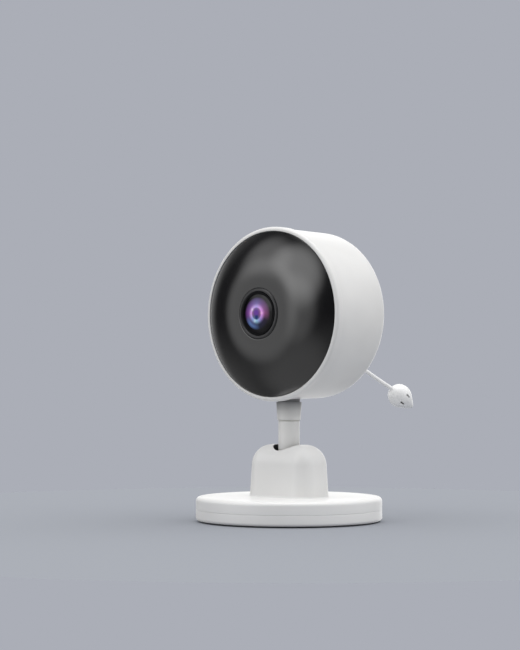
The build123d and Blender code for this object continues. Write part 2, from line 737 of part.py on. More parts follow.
with BuildPart() as ir_leds:
    with BuildSketch(across(IR_BOARD_FRONT_Y)):
        with PolarLocations(LED_CIRCLE_R, LED_COUNT, start_angle=22.5):
            Rectangle(3.2, 3.2)
    extrude(amount=0.8)
    with BuildSketch(across(IR_BOARD_FRONT_Y - 0.8)):
        with PolarLocations(LED_CIRCLE_R, LED_COUNT, start_angle=22.5):
            Circle(1.3)
    extrude(amount=0.9)
save(ir_leds, "ir_leds")

with BuildPart() as light_sensor:
    with BuildSketch(across(IR_BOARD_FRONT_Y)):
        with Locations((0, LED_CIRCLE_R)):
            Circle(1.5)
    extrude(amount=1.4)
save(light_sensor, "light_sensor")

with BuildPart() as microphone:
    with BuildSketch(across(IR_BOARD_FRONT_Y)):
        with Locations((0, -LED_CIRCLE_R)):
            Circle(2.0)
    extrude(amount=1.3)
save(microphone, "microphone")

with BuildPart() as ir_board_cable:
    with BuildSketch(across(BOARD_FRONT_Y)):
        with Locations((0, CABLE_H)):
            Rectangle(8.0, 0.4)
    extrude(amount=BOARD_FRONT_Y - IR_BOARD_REAR_Y)
save(ir_board_cable, "ir_board_cable")

# ---------------------------------------------------------------- head: rear cover and what it carries

PORT_H = PORT_Z - AXIS_Z
SPEAKER_H = SPEAKER_Z - AXIS_Z
LEAD_H = LEAD_Z - AXIS_Z
GRILLE_RINGS = [(2.6, 6), (5.2, 12), (7.8, 18)]

with BuildPart() as rear_cover:
    with BuildSketch(across(REAR_Y)):
        Circle(COVER_R)
    extrude(amount=REAR_Y - COVER_SEAT_Y)
    chamfer(rear_cover.edges().filter_by(GeomType.CIRCLE).sort_by(Axis.Y)[-1:], 0.3)
    with BuildSketch(across(COVER_SEAT_Y)):
        with Locations((0, SPEAKER_H)):
            Circle(SPEAKER_R + 1.3)
            Circle(SPEAKER_R + 0.1, mode=Mode.SUBTRACT)
    extrude(amount=3.4)
    with BuildSketch(across(REAR_Y)):
        with Locations((0, SPEAKER_H)):
            Circle(0.6)
            for ring_r, count in GRILLE_RINGS:
                with PolarLocations(ring_r, count):
                    Circle(0.6)
        with Locations((PORT_X, PORT_H)):
            SlotOverall(9.3, 3.6)
        with Locations((BUTTON_X, PORT_H)):
            Circle(BUTTON_R + RUNNING + 0.05)
        with Locations((0, LEAD_H)):
            Circle(2.2)
        with Locations(*POSTS):
            Circle(CLEAR_R)
    extrude(amount=REAR_Y - COVER_SEAT_Y, mode=Mode.SUBTRACT)
    with BuildSketch(across(REAR_Y)):
        with Locations(*POSTS):
            Circle(SCREW_HEAD_R + 0.1)
    extrude(amount=1.1, mode=Mode.SUBTRACT)
save(rear_cover, "rear_cover")

with BuildPart() as rear_screws:
    with BuildSketch(across(REAR_Y - 0.1)):
        with Locations(*POSTS):
            Circle(SCREW_HEAD_R)
    extrude(amount=1.0)
    with BuildSketch(across(REAR_Y - 1.1)):
        with Locations(*POSTS):
            Circle(SCREW_R)
    extrude(amount=9.0)
    with BuildSketch(across(REAR_Y)):
        with Locations(*POSTS):
            Rectangle(2.6, 0.5)
            Rectangle(0.5, 2.6)
    extrude(amount=0.7, mode=Mode.SUBTRACT)
save(rear_screws, "rear_screws")

with BuildPart() as speaker:
    add(
        turned(
            [
                (14.8, 0),
                (14.8, 7.0),
                (18.2, 7.0),
                (18.2, SPEAKER_R),
                (21.8, SPEAKER_R),
                (21.8, 9.6),
                (21.0, 9.6),
                (19.4, 3.4),
                (20.2, 0),
            ]
        ).moved(Location((0, 0, SPEAKER_H)))
    )
save(speaker, "speaker")

with BuildPart() as speaker_gasket:
    with BuildSketch(across(COVER_SEAT_Y)):
        with Locations((0, SPEAKER_H)):
            Circle(SPEAKER_R)
            Circle(9.6, mode=Mode.SUBTRACT)
    extrude(amount=COVER_SEAT_Y - 21.8)
save(speaker_gasket, "speaker_gasket")

with BuildPart() as speaker_wires:
    with BuildSketch(across(18.2)):
        with Locations((-9.5, SPEAKER_H - 1.0), (-9.5, SPEAKER_H + 1.0)):
            Circle(0.5)
    extrude(amount=18.2 - BOARD_REAR_Y)
save(speaker_wires, "speaker_wires")

with BuildPart() as port_board:
    with BuildSketch(across(PORT_BOARD_REAR_Y)):
        with Locations((0, PORT_H)):
            Rectangle(31.0, 8.0)
    extrude(amount=PORT_BOARD_REAR_Y - PORT_BOARD_FRONT_Y)
save(port_board, "port_board")

with BuildPart() as port_board_cable:
    with BuildSketch(across(PORT_BOARD_FRONT_Y)):
        with Locations((0, PORT_H)):
            Rectangle(8.0, 0.4)
    extrude(amount=PORT_BOARD_FRONT_Y - BOARD_REAR_Y)
save(port_board_cable, "port_board_cable")

# USB-C socket
SOCKET_X, SOCKET_H = 8.94, 3.26
MOUTH_X, MOUTH_H = 8.34, 2.56

with BuildPart() as power_port:
    with BuildSketch(across(REAR_Y - 0.4)):
        with Locations((PORT_X, PORT_H)):
            SlotOverall(SOCKET_X, SOCKET_H)
    extrude(amount=REAR_Y - 0.4 - PORT_BOARD_REAR_Y)
    with BuildSketch(across(REAR_Y - 0.4)):
        with Locations((PORT_X, PORT_H)):
            SlotOverall(MOUTH_X, MOUTH_H)
            Rectangle(6.7, 0.7, mode=Mode.SUBTRACT)
    extrude(amount=5.0, mode=Mode.SUBTRACT)
    with BuildSketch(across(REAR_Y - 0.4)):
        with Locations((PORT_X, PORT_H)):
            SlotOverall(MOUTH_X, MOUTH_H)
    extrude(amount=1.0, mode=Mode.SUBTRACT)
save(power_port, "power_port")

with BuildPart() as pair_switch:
    with BuildSketch(across(20.2)):
        with Locations((BUTTON_X, PORT_H)):
            Rectangle(6.0, 6.0)
    extrude(amount=20.2 - PORT_BOARD_REAR_Y)
    with BuildSketch(across(20.2)):
        with Locations((BUTTON_X, PORT_H)):
            Circle(1.8)
    extrude(amount=3.1, mode=Mode.SUBTRACT)
save(pair_switch, "pair_switch")

with BuildPart() as switch_plunger:
    with BuildSketch(across(21.4)):
        with Locations((BUTTON_X, PORT_H)):
            Circle(1.7)
    extrude(amount=3.4)
save(switch_plunger, "switch_plunger")

with BuildPart() as pair_button:
    with BuildSketch(across(REAR_Y + 0.5)):
        with Locations((BUTTON_X, PORT_H)):
            Circle(BUTTON_R)
    extrude(amount=REAR_Y + 0.5 - 21.4)
    fillet(pair_button.edges().filter_by(GeomType.CIRCLE).sort_by(Axis.Y)[-1:], 0.4)
    with BuildSketch(across(22.5)):
        with Locations((BUTTON_X, PORT_H)):
            Circle(3.3)
    extrude(amount=0.9)
save(pair_button, "pair_button")

# ---------------------------------------------------------------- temperature sensor

with BuildPart() as lead_connector:
    with BuildSketch(across(18.4)):
        with Locations((0, LEAD_H)):
            Rectangle(5.0, 4.0)
    extrude(amount=18.4 - PORT_BOARD_REAR_Y)
save(lead_connector, "lead_connector")

with BuildPart() as lead_tail:
    with BuildSketch(across(GROMMET_END_Y)):
        with Locations((0, LEAD_H)):
            Circle(LEAD_D / 2)
    extrude(amount=GROMMET_END_Y - 18.4)
save(lead_tail, "lead_tail")

with BuildPart() as lead_grommet:
    add(
        turned(
            [
                (21.4, LEAD_D / 2 + RUNNING),
                (21.4, 3.3),
                (COVER_SEAT_Y, 3.3),
                (COVER_SEAT_Y, 2.15),
                (REAR_Y, 2.15),
                (REAR_Y, 2.6),
                (REAR_Y + 1.0, 2.6),
                (GROMMET_END_Y, 1.35),
                (GROMMET_END_Y, LEAD_D / 2 + RUNNING),
            ]
        ).moved(Location((0, 0, LEAD_H)))
    )
save(lead_grommet, "lead_grommet")

# The free lead: straight out of the grommet, then a droop towards the bulb
LEAD_ROUTE = [
    Vector(0.0, GROMMET_END_Y, LEAD_Z),
    Vector(0.0, 38.0, LEAD_Z),
    Vector(2.1, 47.0, 66.2),
    Vector(4.3, 55.6, 61.0),
    Vector(6.4, 63.5, 56.7),
]


def arc_radii(route):
    """The largest tangent arc that each corner's two runs allow."""
    radii = []
    for before, corner, after in zip(route, route[1:], route[2:]):
        into, out = corner - before, after - corner
        shorter = min(into.length, out.length)
        radii.append(0.45 * shorter / tan(radians(into.get_angle(out)) / 2))
    return radii


LEAD_RADII = arc_radii(LEAD_ROUTE)
print("lead arc radii", [round(r, 1) for r in LEAD_RADII])

with BuildPart() as probe_lead:
    with BuildLine() as lead_path:
        FilletPolyline(*LEAD_ROUTE, radius=LEAD_RADII)
    with BuildSketch(Plane(origin=LEAD_ROUTE[0], z_dir=LEAD_ROUTE[1] - LEAD_ROUTE[0])):
        Circle(LEAD_D / 2)
    sweep()
save(probe_lead, "probe_lead")
lead_length = sum(edge.length for edge in lead_path.edges())
lead_section = pi * LEAD_D**2 / 4
print("lead length", round(lead_length, 2))
print("lead volume over section times length", round(probe_lead.part.volume / lead_section / lead_length, 4))

# Bulb: a drop turned about the line from the lead's end to its tip
BULB_START = LEAD_ROUTE[-1]
BULB_TIP = Vector(9.6, 74.7, 48.2)
BULB_AXIS = (BULB_TIP - BULB_START).normalized()
BULB_LENGTH = (BULB_TIP - BULB_START).length
# A level line square to the axis, turned about the axis into the parting plane
BULB_LEVEL = BULB_AXIS.cross(Vector(0, 0, 1)).normalized()
BULB_SIDE = BULB_LEVEL.rotate(Axis((0, 0, 0), BULB_AXIS), PARTING_TURN)
BULB_PLANE = Plane(origin=BULB_START, x_dir=BULB_AXIS, z_dir=BULB_SIDE)
SOCKET_R, TIP_R = 1.35, 0.95


def drop(grow):
    """The bulb's solid, shrunk about its widest place so that its greatest radius loses grow."""
    scale = 1 - grow / BULB_R

    def at(along, radius):
        return (BULB_WAIST + (along - BULB_WAIST) * scale, radius * scale)

    with BuildPart() as solid:
        with BuildSketch(BULB_PLANE):
            with BuildLine():
                Line(at(0, 0), at(0, SOCKET_R))
                Spline(
                    at(0, SOCKET_R),
                    at(2.6, 4.3),
                    at(BULB_WAIST, BULB_R),
                    at(9.6, 3.95),
                    at(BULB_LENGTH - 1.0, TIP_R),
                    tangents=((0.4, 1), (1, -0.85)),
                )
                ThreePointArc(
                    at(BULB_LENGTH - 1.0, TIP_R),
                    at(BULB_LENGTH - 0.3, TIP_R / 2),
                    at(BULB_LENGTH, 0),
                )
                Line(at(BULB_LENGTH, 0), at(0, 0))
            make_face()
        revolve(axis=Axis(BULB_START, BULB_AXIS))
    return solid.part


with BuildPart() as bulb_skin:
    add(drop(0.0))
    add(drop(1.1), mode=Mode.SUBTRACT)
    # A pair of vents on each side of the widest part, clear of the parting plane
    for turn in VENT_TURNS:
        outward = BULB_SIDE.rotate(Axis((0, 0, 0), BULB_AXIS), turn)
        with BuildSketch(Plane(origin=BULB_START + BULB_AXIS * VENT_AT, x_dir=BULB_AXIS, z_dir=outward)):
            SlotOverall(VENT_L, VENT_W)
        extrude(amount=BULB_R + 1.0, mode=Mode.SUBTRACT)

# The shells part along a plane through the bulb's axis that passes midway between the vents of each pair
SPLIT_NORMAL = BULB_SIDE.cross(BULB_AXIS).normalized()
SPLIT_PLANE = Plane(origin=BULB_START, x_dir=BULB_AXIS, z_dir=SPLIT_NORMAL)

with BuildPart() as probe_shell_upper:
    add(bulb_skin.part)
    split(bisect_by=SPLIT_PLANE, keep=Keep.TOP)
save(probe_shell_upper, "probe_shell_upper")

with BuildPart() as probe_shell_lower:
    add(bulb_skin.part)
    split(bisect_by=SPLIT_PLANE, keep=Keep.BOTTOM)
save(probe_shell_lower, "probe_shell_lower")

with BuildPart() as thermistor:
    with BuildSketch(Plane(origin=BULB_START + BULB_AXIS * BULB_WAIST, z_dir=BULB_AXIS)):
        Circle(1.2)
    extrude(amount=2.5, both=True)
save(thermistor, "thermistor")
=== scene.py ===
import json
import math

import bmesh
import bpy
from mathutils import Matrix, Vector


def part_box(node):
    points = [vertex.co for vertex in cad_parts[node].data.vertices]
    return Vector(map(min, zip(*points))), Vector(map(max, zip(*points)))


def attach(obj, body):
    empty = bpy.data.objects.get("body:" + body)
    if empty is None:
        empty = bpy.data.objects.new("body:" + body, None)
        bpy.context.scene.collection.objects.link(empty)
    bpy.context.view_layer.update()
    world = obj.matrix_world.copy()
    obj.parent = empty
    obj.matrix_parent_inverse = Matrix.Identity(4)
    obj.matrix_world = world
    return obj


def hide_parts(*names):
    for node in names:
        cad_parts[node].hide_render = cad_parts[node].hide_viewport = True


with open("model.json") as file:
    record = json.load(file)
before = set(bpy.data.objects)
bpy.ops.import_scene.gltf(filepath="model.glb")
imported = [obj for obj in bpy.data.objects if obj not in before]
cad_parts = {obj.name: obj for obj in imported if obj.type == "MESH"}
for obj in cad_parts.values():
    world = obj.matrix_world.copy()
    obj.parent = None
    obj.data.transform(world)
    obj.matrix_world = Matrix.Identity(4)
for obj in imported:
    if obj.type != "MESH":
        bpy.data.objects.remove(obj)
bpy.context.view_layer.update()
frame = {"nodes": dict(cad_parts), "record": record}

# Baby monitor camera: the main visible plastic, rubber and glass pieces are made here as fine meshes
# on the CAD frame, in the frame's own metres; the other CAD pieces stay and are dressed.
# Outlines are lists of (along, radius, corner radius).
MM = 0.001


def corners_mm(node):
    """A CAD node's lowest and highest corners, in millimetres."""
    low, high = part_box(node)
    return Vector(low) / MM, Vector(high) / MM


# ---------------------------------------------------------------- places, from the frame

upper_high = corners_mm("base_upper_cover")[1]
lower_low, lower_high = corners_mm("base_lower_cover")
ring_high = corners_mm("anti_slip_ring")[1]
tower_high = corners_mm("joint_housing")[1]
neck_low, neck_high = corners_mm("neck")
collar_low, collar_high = corners_mm("neck_collar")
washer_low = corners_mm("friction_washer")[0]
shell_low, shell_high = corners_mm("head_shell")
bezel_low, bezel_high = corners_mm("bezel_ring")
face_low, face_high = corners_mm("face_panel")
cover_high = corners_mm("rear_cover")[1]
lens_ring_low, lens_ring_high = corners_mm("lens_bezel")
hood_low, hood_high = corners_mm("lens_hood")
glass_low, glass_high = corners_mm("front_lens_element")
grommet_low, grommet_high = corners_mm("lead_grommet")
button_low, button_high = corners_mm("pair_button")

BASE_R = upper_high.x
BASE_TOP = upper_high.z
HEAD_Z = (face_low.z + face_high.z) / 2
HEAD_R = bezel_high.x
LEAD_Z = (grommet_low.z + grommet_high.z) / 2
# The height at which the collar enters the drum, and the radius of the tower's mouth round the neck
COLLAR_FLARE_Z = 51.3
MOUTH_R = 6.6

# ---------------------------------------------------------------- mesh helpers

MERGE_M = 1e-8  # points nearer than this, in metres, are one
TINY = 1e-6  # a distance below this, in millimetres, counts as none


def new_object(name, verts, faces, sharp=40.0):
    """A mesh object from points in millimetres, smooth except across sharp edges."""
    mesh = bpy.data.meshes.new(name)
    mesh.from_pydata([Vector(v) * MM for v in verts], [], faces)
    bm = bmesh.new()
    bm.from_mesh(mesh)
    bmesh.ops.remove_doubles(bm, verts=bm.verts, dist=MERGE_M)
    bmesh.ops.recalc_face_normals(bm, faces=bm.faces)
    bm.to_mesh(mesh)
    bm.free()
    obj = bpy.data.objects.new(name, mesh)
    bpy.context.scene.collection.objects.link(obj)
    smooth(obj, sharp)
    return obj


def smooth(obj, sharp=40.0):
    """Smooth shading, with the edges that turn by more than sharp degrees kept crisp."""
    mesh = obj.data
    mesh.polygons.foreach_set("use_smooth", [True] * len(mesh.polygons))
    bm = bmesh.new()
    bm.from_mesh(mesh)
    limit = math.radians(sharp)
    for edge in bm.edges:
        edge.smooth = len(edge.link_faces) == 2 and edge.calc_face_angle(0.0) < limit
    bm.to_mesh(mesh)
    bm.free()


def rounded(corners, per_turn=40):
    """Points of a closed outline from (a, b, radius) corners, with an arc at each rounded corner."""
    points = []
    count = len(corners)
    for i, (a, b, radius) in enumerate(corners):
        here = Vector((a, b))
        if radius <= 0:
            points.append(here)
            continue
        before = Vector(corners[i - 1][:2])
        after = Vector(corners[(i + 1) % count][:2])
        to_before = (before - here).normalized()
        to_after = (after - here).normalized()
        half = to_before.angle(to_after) / 2
        reach = radius / math.tan(half)
        start = here + to_before * reach
        middle = here + (to_before + to_after).normalized() * (radius / math.sin(half))
        turn = math.pi - 2 * half
        steps = max(3, math.ceil(per_turn * turn / (2 * math.pi)) + 1)
        spoke = start - middle
        side = 1.0 if spoke.x * to_after.y - spoke.y * to_after.x > 0 else -1.0
        for k in range(steps + 1):
            angle = side * turn * k / steps
            c, s = math.cos(angle), math.sin(angle)
            points.append(middle + Vector((c * spoke.x - s * spoke.y, s * spoke.x + c * spoke.y)))
    return points


def lathe(name, outline, place, steps=160, closed=True, sharp=40.0):
    """Turns an outline of (along, radius) points; place(along, radius, angle) gives the 3-D point."""
    verts = []
    faces = []
    rows = len(outline)
    for a, r in outline:
        for k in range(steps):
            verts.append(place(a, r, 2 * math.pi * k / steps))
    last = rows if closed else rows - 1
    for i in range(last):
        j = (i + 1) % rows
        starts_on_axis, ends_on_axis = outline[i][1] < TINY, outline[j][1] < TINY
        if starts_on_axis and ends_on_axis:
            continue
        for k in range(steps):
            m = (k + 1) % steps
            quad = [i * steps + k, i * steps + m, j * steps + m, j * steps + k]
            if starts_on_axis:
                quad = [i * steps, j * steps + m, j * steps + k]
            elif ends_on_axis:
                quad = [i * steps + k, i * steps + m, j * steps]
            faces.append(quad)
    return new_object(name, verts, faces, sharp)


def about_lens_axis(height=None, x=0.0):
    """Places lathe points about an axis along Y through (x, height); along is Y."""
    z = HEAD_Z if height is None else height
    return lambda a, r, t: (x + r * math.sin(t), a, z + r * math.cos(t))


def about_vertical(a, r, t):
    """Places lathe points about +Z; along is Z."""
    return (r * math.cos(t), r * math.sin(t), a)


def about_line(start, axis):
    """Places lathe points about a slanted line; along is measured from start."""
    axis = Vector(axis).normalized()
    side = axis.cross(Vector((0, 0, 1))).normalized()
    up = side.cross(axis)
    return lambda a, r, t: (
        Vector(start) + axis * a + side * (r * math.sin(t)) + up * (r * math.cos(t))
    )


def cut(obj, *cutters):
    """Takes the cutters' volumes out of a piece and deletes them."""
    for tool in cutters:
        modifier = obj.modifiers.new("cut", "BOOLEAN")
        modifier.operation = "DIFFERENCE"
        modifier.solver = "EXACT"
        modifier.object = tool
        bpy.context.view_layer.update()
        graph = bpy.context.evaluated_depsgraph_get()
        mesh = bpy.data.meshes.new_from_object(obj.evaluated_get(graph))
        obj.modifiers.clear()
        obj.data = mesh
        bpy.data.objects.remove(tool)
    smooth(obj, 35.0)


def dress(obj, material):
    """Gives a piece one material."""
    obj.data.materials.clear()
    obj.data.materials.append(material)


def finish_piece(obj, body, material, node):
    """Dresses a piece, rides it on its body and lets it replace its CAD node, which it hides."""
    dress(obj, material)
    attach(obj, body)
    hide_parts(node)
    return obj


# ---------------------------------------------------------------- materials


class Nodes:
    """Short calls for building a node tree."""

    def __init__(self, tree):
        self.tree = tree

    def put(self, value, socket):
        """Links an output to a socket, or sets the socket to a plain value."""
        if isinstance(value, bpy.types.NodeSocket):
            self.tree.links.new(value, socket)
        else:
            socket.default_value = value

    def node(self, kind, **inputs):
        """A new node with its inputs linked or set; an underscore stands for a space."""
        made = self.tree.nodes.new(kind)
        for name, value in inputs.items():
            self.put(value, made.inputs[name.replace("_", " ")])
        return made

    def value(self, operation, a, b=0.0):
        """A sum on one or two numbers."""
        made = self.tree.nodes.new("ShaderNodeMath")
        made.operation = operation
        self.put(a, made.inputs[0])
        self.put(b, made.inputs[1])
        return made.outputs[0]

    def length(self, a, b):
        """The length of a flat vector with these two components."""
        squares = [self.value("MULTIPLY", side, side) for side in (a, b)]
        return self.value("SQRT", self.value("ADD", *squares))

    def mixed(self, base, color, factor):
        """A colour between base, at a factor of 0, and color, at 1."""
        made = self.tree.nodes.new("ShaderNodeMix")
        made.data_type = "RGBA"
        self.put(factor, made.inputs["Factor"])
        for given, socket in ((base, made.inputs[6]), (color, made.inputs[7])):
            self.put(given if isinstance(given, bpy.types.NodeSocket) else (*given, 1.0), socket)
        return made.outputs[2]

    def between(self, factor, start, end, low, high, smooth=False):
        """Maps a factor from start..end to low..high, held beyond the ends."""
        made = self.node("ShaderNodeMapRange", Value=factor)
        made.interpolation_type = "SMOOTHSTEP" if smooth else "LINEAR"
        ends = {"From Min": start, "From Max": end, "To Min": low, "To Max": high}
        for name, value in ends.items():
            made.inputs[name].default_value = value
        return made.outputs["Result"]


class Shader(Nodes):
    """A Principled material."""

    def __init__(self, name, color, roughness):
        self.material = bpy.data.materials.new(name)
        self.material.use_nodes = True
        super().__init__(self.material.node_tree)
        self.bsdf = self.tree.nodes["Principled BSDF"]
        self.bsdf.inputs["Base Color"].default_value = (*color, 1.0)
        self.bsdf.inputs["Roughness"].default_value = roughness
        self.coords = self.tree.nodes.new("ShaderNodeTexCoord").outputs["Object"]

    def set(self, **values):
        for name, value in values.items():
            self.bsdf.inputs[name.replace("_", " ")].default_value = value

    def noise(self, scale, detail=3.0, rough=0.5):
        return self.node(
            "ShaderNodeTexNoise", Vector=self.coords, Scale=scale, Detail=detail, Roughness=rough
        ).outputs["Fac"]

    def ramp(self, factor, *stops):
        made = self.node("ShaderNodeValToRGB", Fac=factor)
        elements = made.color_ramp.elements
        while len(elements) < len(stops):
            elements.new(0.5)
        for element, (place, color) in zip(elements, stops):
            element.position = place
            element.color = (*color, 1.0)
        return made.outputs["Color"]

    def spread(self, factor, low, high):
        """Maps the middle of a noise's range to low..high."""
        return self.between(factor, 0.3, 0.7, low, high)

    def link(self, output, name):
        self.tree.links.new(output, self.bsdf.inputs[name])

    def bump(self, height, strength, distance):
        made = self.node("ShaderNodeBump", Height=height, Strength=strength, Distance=distance)
        self.link(made.outputs["Normal"], "Normal")


def tinted(color, amount):
    return tuple(c * amount for c in color)


def grey(level):
    return (level,) * 3


def moulded_plastic(
    name, color, roughness, grain=2600.0, depth=0.00002, variation=0.03, strength=0.25
):
    """Moulded plastic: a fine spark-eroded grain, slow colour drift and uneven gloss."""
    shader = Shader(name, color, roughness)
    drift = shader.noise(38.0, 2.0)
    low, high = tinted(color, 1 - variation), tinted(color, 1 + variation)
    tint = shader.ramp(drift, (0.35, low), (0.65, high))
    shader.link(tint, "Base Color")
    patches = shader.noise(140.0, 4.0)
    shader.link(shader.spread(patches, roughness * 0.9, roughness * 1.1), "Roughness")
    shader.bump(shader.noise(grain, 2.0, 0.6), strength, depth)
    return shader


def white_plastic(name, shade=1.0):
    """The satin white of the casings, with a little light passing under its surface."""
    shader = moulded_plastic(name, tinted((0.80, 0.797, 0.79), shade), 0.32)
    shader.set(Subsurface_Weight=0.06, Subsurface_Scale=0.002, Specular_IOR_Level=0.5)
    shader.bsdf.inputs["Subsurface Radius"].default_value = (1.0, 0.9, 0.8)
    return shader


def tower_plastic_painted_mouth_shade():
    """The casings' white a shade darker, with painted shade: the wall inside the mouth round the neck
    is near black.
    """
    shader = white_plastic("tower_plastic_painted_mouth_shade", 0.93)
    tint = shader.bsdf.inputs["Base Color"].links[0].from_socket
    split = shader.node("ShaderNodeSeparateXYZ", Vector=shader.coords).outputs
    radius = shader.length(split["X"], split["Y"])
    # Painted shade: near black inside the mouth, the casing's white outside it
    outside = shader.between(radius, (MOUTH_R + 0.12) * MM, (MOUTH_R + 0.22) * MM, 0.0, 1.0)
    shader.link(shader.mixed((0.015, 0.015, 0.016), tint, outside), "Base Color")
    return shader


def collar_plastic_painted_shade():
    """The collar's plastic, with painted shade that darkens it upwards to where it enters the drum."""
    shader = moulded_plastic("collar_plastic_painted_shade", (0.74, 0.735, 0.72), 0.34, variation=0.02)
    height = shader.node("ShaderNodeSeparateXYZ", Vector=shader.coords).outputs["Z"]
    # Painted shade: the colour darkens from the collar's foot up to its top under the drum
    shade = shader.ramp(
        shader.between(height, collar_low.z * MM, COLLAR_FLARE_Z * MM, 0.0, 1.0),
        (0.1, (0.76, 0.755, 0.74)),
        (0.5, (0.62, 0.615, 0.605)),
        (0.8, grey(0.38)),
        (1.0, (0.22, 0.22, 0.225)),
    )
    shader.link(shade, "Base Color")
    return shader


def smoked_face():
    """Dark glossy plastic under a clear coat, a little wavy."""
    shader = Shader("smoked_face", (0.006, 0.006, 0.007), 0.2)
    shader.link(shader.spread(shader.noise(90.0, 3.0), 0.16, 0.19), "Roughness")
    shader.bump(shader.noise(60.0, 1.0), strength=0.05, distance=0.00003)
    shader.set(IOR=1.62, Coat_Weight=0.6, Coat_Roughness=0.12)
    return shader


def zinc_steel():
    """Zinc-plated steel with a fine uneven brushing."""
    shader = Shader("zinc_steel", (0.55, 0.56, 0.57), 0.3)
    shader.set(Metallic=1.0)
    brushed = shader.noise(800.0, 3.0)
    tint = shader.ramp(brushed, (0.3, (0.46, 0.47, 0.48)), (0.7, (0.62, 0.62, 0.63)))
    shader.link(tint, "Base Color")
    shader.link(shader.spread(shader.noise(300.0), 0.25, 0.4), "Roughness")
    shader.bump(brushed, strength=0.2, distance=0.00002)
    return shader


def circuit_board():
    """Green solder mask with lighter lines between its cells."""
    shader = Shader("circuit_board", (0.01, 0.08, 0.03), 0.35)
    cells = shader.node("ShaderNodeTexVoronoi", Vector=shader.coords, Scale=420.0)
    cells.feature = "DISTANCE_TO_EDGE"
    lines = shader.ramp(
        cells.outputs["Distance"], (0.04, (0.02, 0.16, 0.06)), (0.1, (0.008, 0.07, 0.025))
    )
    shader.link(lines, "Base Color")
    return shader


def build_materials():
    made = {
        "white": white_plastic("white_plastic"),
        "tower": tower_plastic_painted_mouth_shade(),
        "collar": collar_plastic_painted_shade(),
        "face": smoked_face(),
        "steel": zinc_steel(),
        "board": circuit_board(),
    }
    made["neck"] = moulded_plastic("neck_plastic", (0.8, 0.795, 0.78), 0.3, variation=0.02)
    made["probe"] = moulded_plastic("probe_plastic", grey(0.93), 0.3, variation=0.02)
    made["dark"] = moulded_plastic("dark_plastic", (0.028, 0.028, 0.03), 0.42, variation=0.12)
    made["black"] = moulded_plastic("lens_black", (0.006, 0.006, 0.007), 0.8, variation=0.1)
    made["black"].set(Specular_IOR_Level=0.15)
    made["rubber"] = moulded_plastic(
        "foot_rubber",
        (0.02, 0.02, 0.021),
        0.75,
        grain=1500.0,
        depth=0.00006,
        variation=0.15,
        strength=0.5,
    )
    made["jacket"] = moulded_plastic(
        "lead_jacket", grey(0.92), 0.45, grain=3200.0, variation=0.02, strength=0.3
    )
    made["nylon"] = moulded_plastic("nylon", (0.62, 0.61, 0.57), 0.5, variation=0.04)
    made["chip"] = moulded_plastic("chip_epoxy", (0.02, 0.02, 0.021), 0.6, variation=0.15)
    made["foam"] = moulded_plastic(
        "foam", grey(0.03), 0.95, grain=900.0, depth=0.0002, variation=0.2, strength=0.8
    )
    made["wire"] = moulded_plastic("wire_red", (0.45, 0.02, 0.015), 0.4, variation=0.08)
    made["film"] = moulded_plastic(
        "cable_film", (0.5, 0.2, 0.03), 0.3, grain=500.0, variation=0.08, strength=0.2
    )
    made["led"] = moulded_plastic("led_resin", (0.6, 0.6, 0.55), 0.15, variation=0.05)
    made["led"].set(Transmission_Weight=0.4)
    return {key: shader.material for key, shader in made.items()}


# The coated lens's reflexes, painted into the glass's colour, are laid out in units of this many
# millimetres, about the lens's middle, as far out as REFLEX_R units
REFLEX_UNIT = 1.07
REFLEX_R = 7.0
REFLEX_BLACK = (0.003, 0.003, 0.004)
# Painted reflection colours by turn about the lens's axis: 0 is the left, 0.25 the bottom, 0.5 the
# right, 0.75 the top
REFLEXES_NEAR = [
    (0.0, (0.90, 0.44, 1.00)),
    (0.12, (0.42, 0.48, 1.00)),
    (0.25, (0.40, 0.76, 1.00)),
    (0.36, (0.42, 0.34, 0.85)),
    (0.5, (1.00, 0.36, 1.00)),
    (0.62, (0.86, 0.42, 1.00)),
    (0.75, (0.58, 0.46, 1.00)),
    (1.0, (0.90, 0.44, 1.00)),
]
REFLEXES_FAR = [
    (0.0, (0.60, 0.16, 0.85)),
    (0.1, (0.30, 0.26, 0.70)),
    (0.22, (0.10, 0.14, 0.36)),
    (0.3, (0.02, 0.03, 0.12)),
    (0.42, (0.05, 0.02, 0.10)),
    (0.5, (0.70, 0.18, 0.55)),
    (0.75, (0.42, 0.32, 0.90)),
    (1.0, (0.60, 0.16, 0.85)),
]
# Between these two radii the near colours give way to the far ones
NEAR_TO_FAR = (3.2, 4.6)
# How strong the painted reflections are, by radius as a share of REFLEX_R: the bright painted ring is
# at 0.38
REFLEX_PROFILE = [
    (0.0, grey(0.1)),
    (0.16, grey(0.18)),
    (0.3, grey(0.38)),
    (0.38, grey(1.0)),
    (0.45, grey(0.8)),
    (0.55, grey(0.48)),
    (0.8, grey(0.22)),
    (0.94, grey(0.0)),
]
# A painted blue reflection in an arc at the lower left: strength by turn, then its radius, reach, core
# and strength
ARC_SWEEP = [(0.04, grey(0.0)), (0.13, grey(1.0)), (0.2, grey(0.8)), (0.29, grey(0.0))]
ARC_R, ARC_REACH, ARC_CORE, ARC_STRENGTH = 5.3, 1.2, 0.2, 0.85
ARC_COLOR = (0.13, 0.24, 0.55)
# Round patches of painted reflection and highlight, and the dark pupil: colour, then x, z, full within,
# gone at and strength
REFLEX_SPOTS = [
    ((0.17, 0.05, 0.42), (0.0, 0.3, 0.6, 2.1, 0.9)),
    ((0.01, 0.03, 0.18), (0.1, -1.5, 0.4, 1.3, 1.0)),
    ((0.95, 0.80, 1.00), (-2.2, 1.6, 0.1, 1.0, 0.6)),
    ((1.00, 0.62, 0.95), (2.7, 0.2, 0.1, 0.9, 0.7)),
    ((0.70, 0.90, 1.00), (-0.9, -2.9, 0.1, 0.9, 0.7)),
]


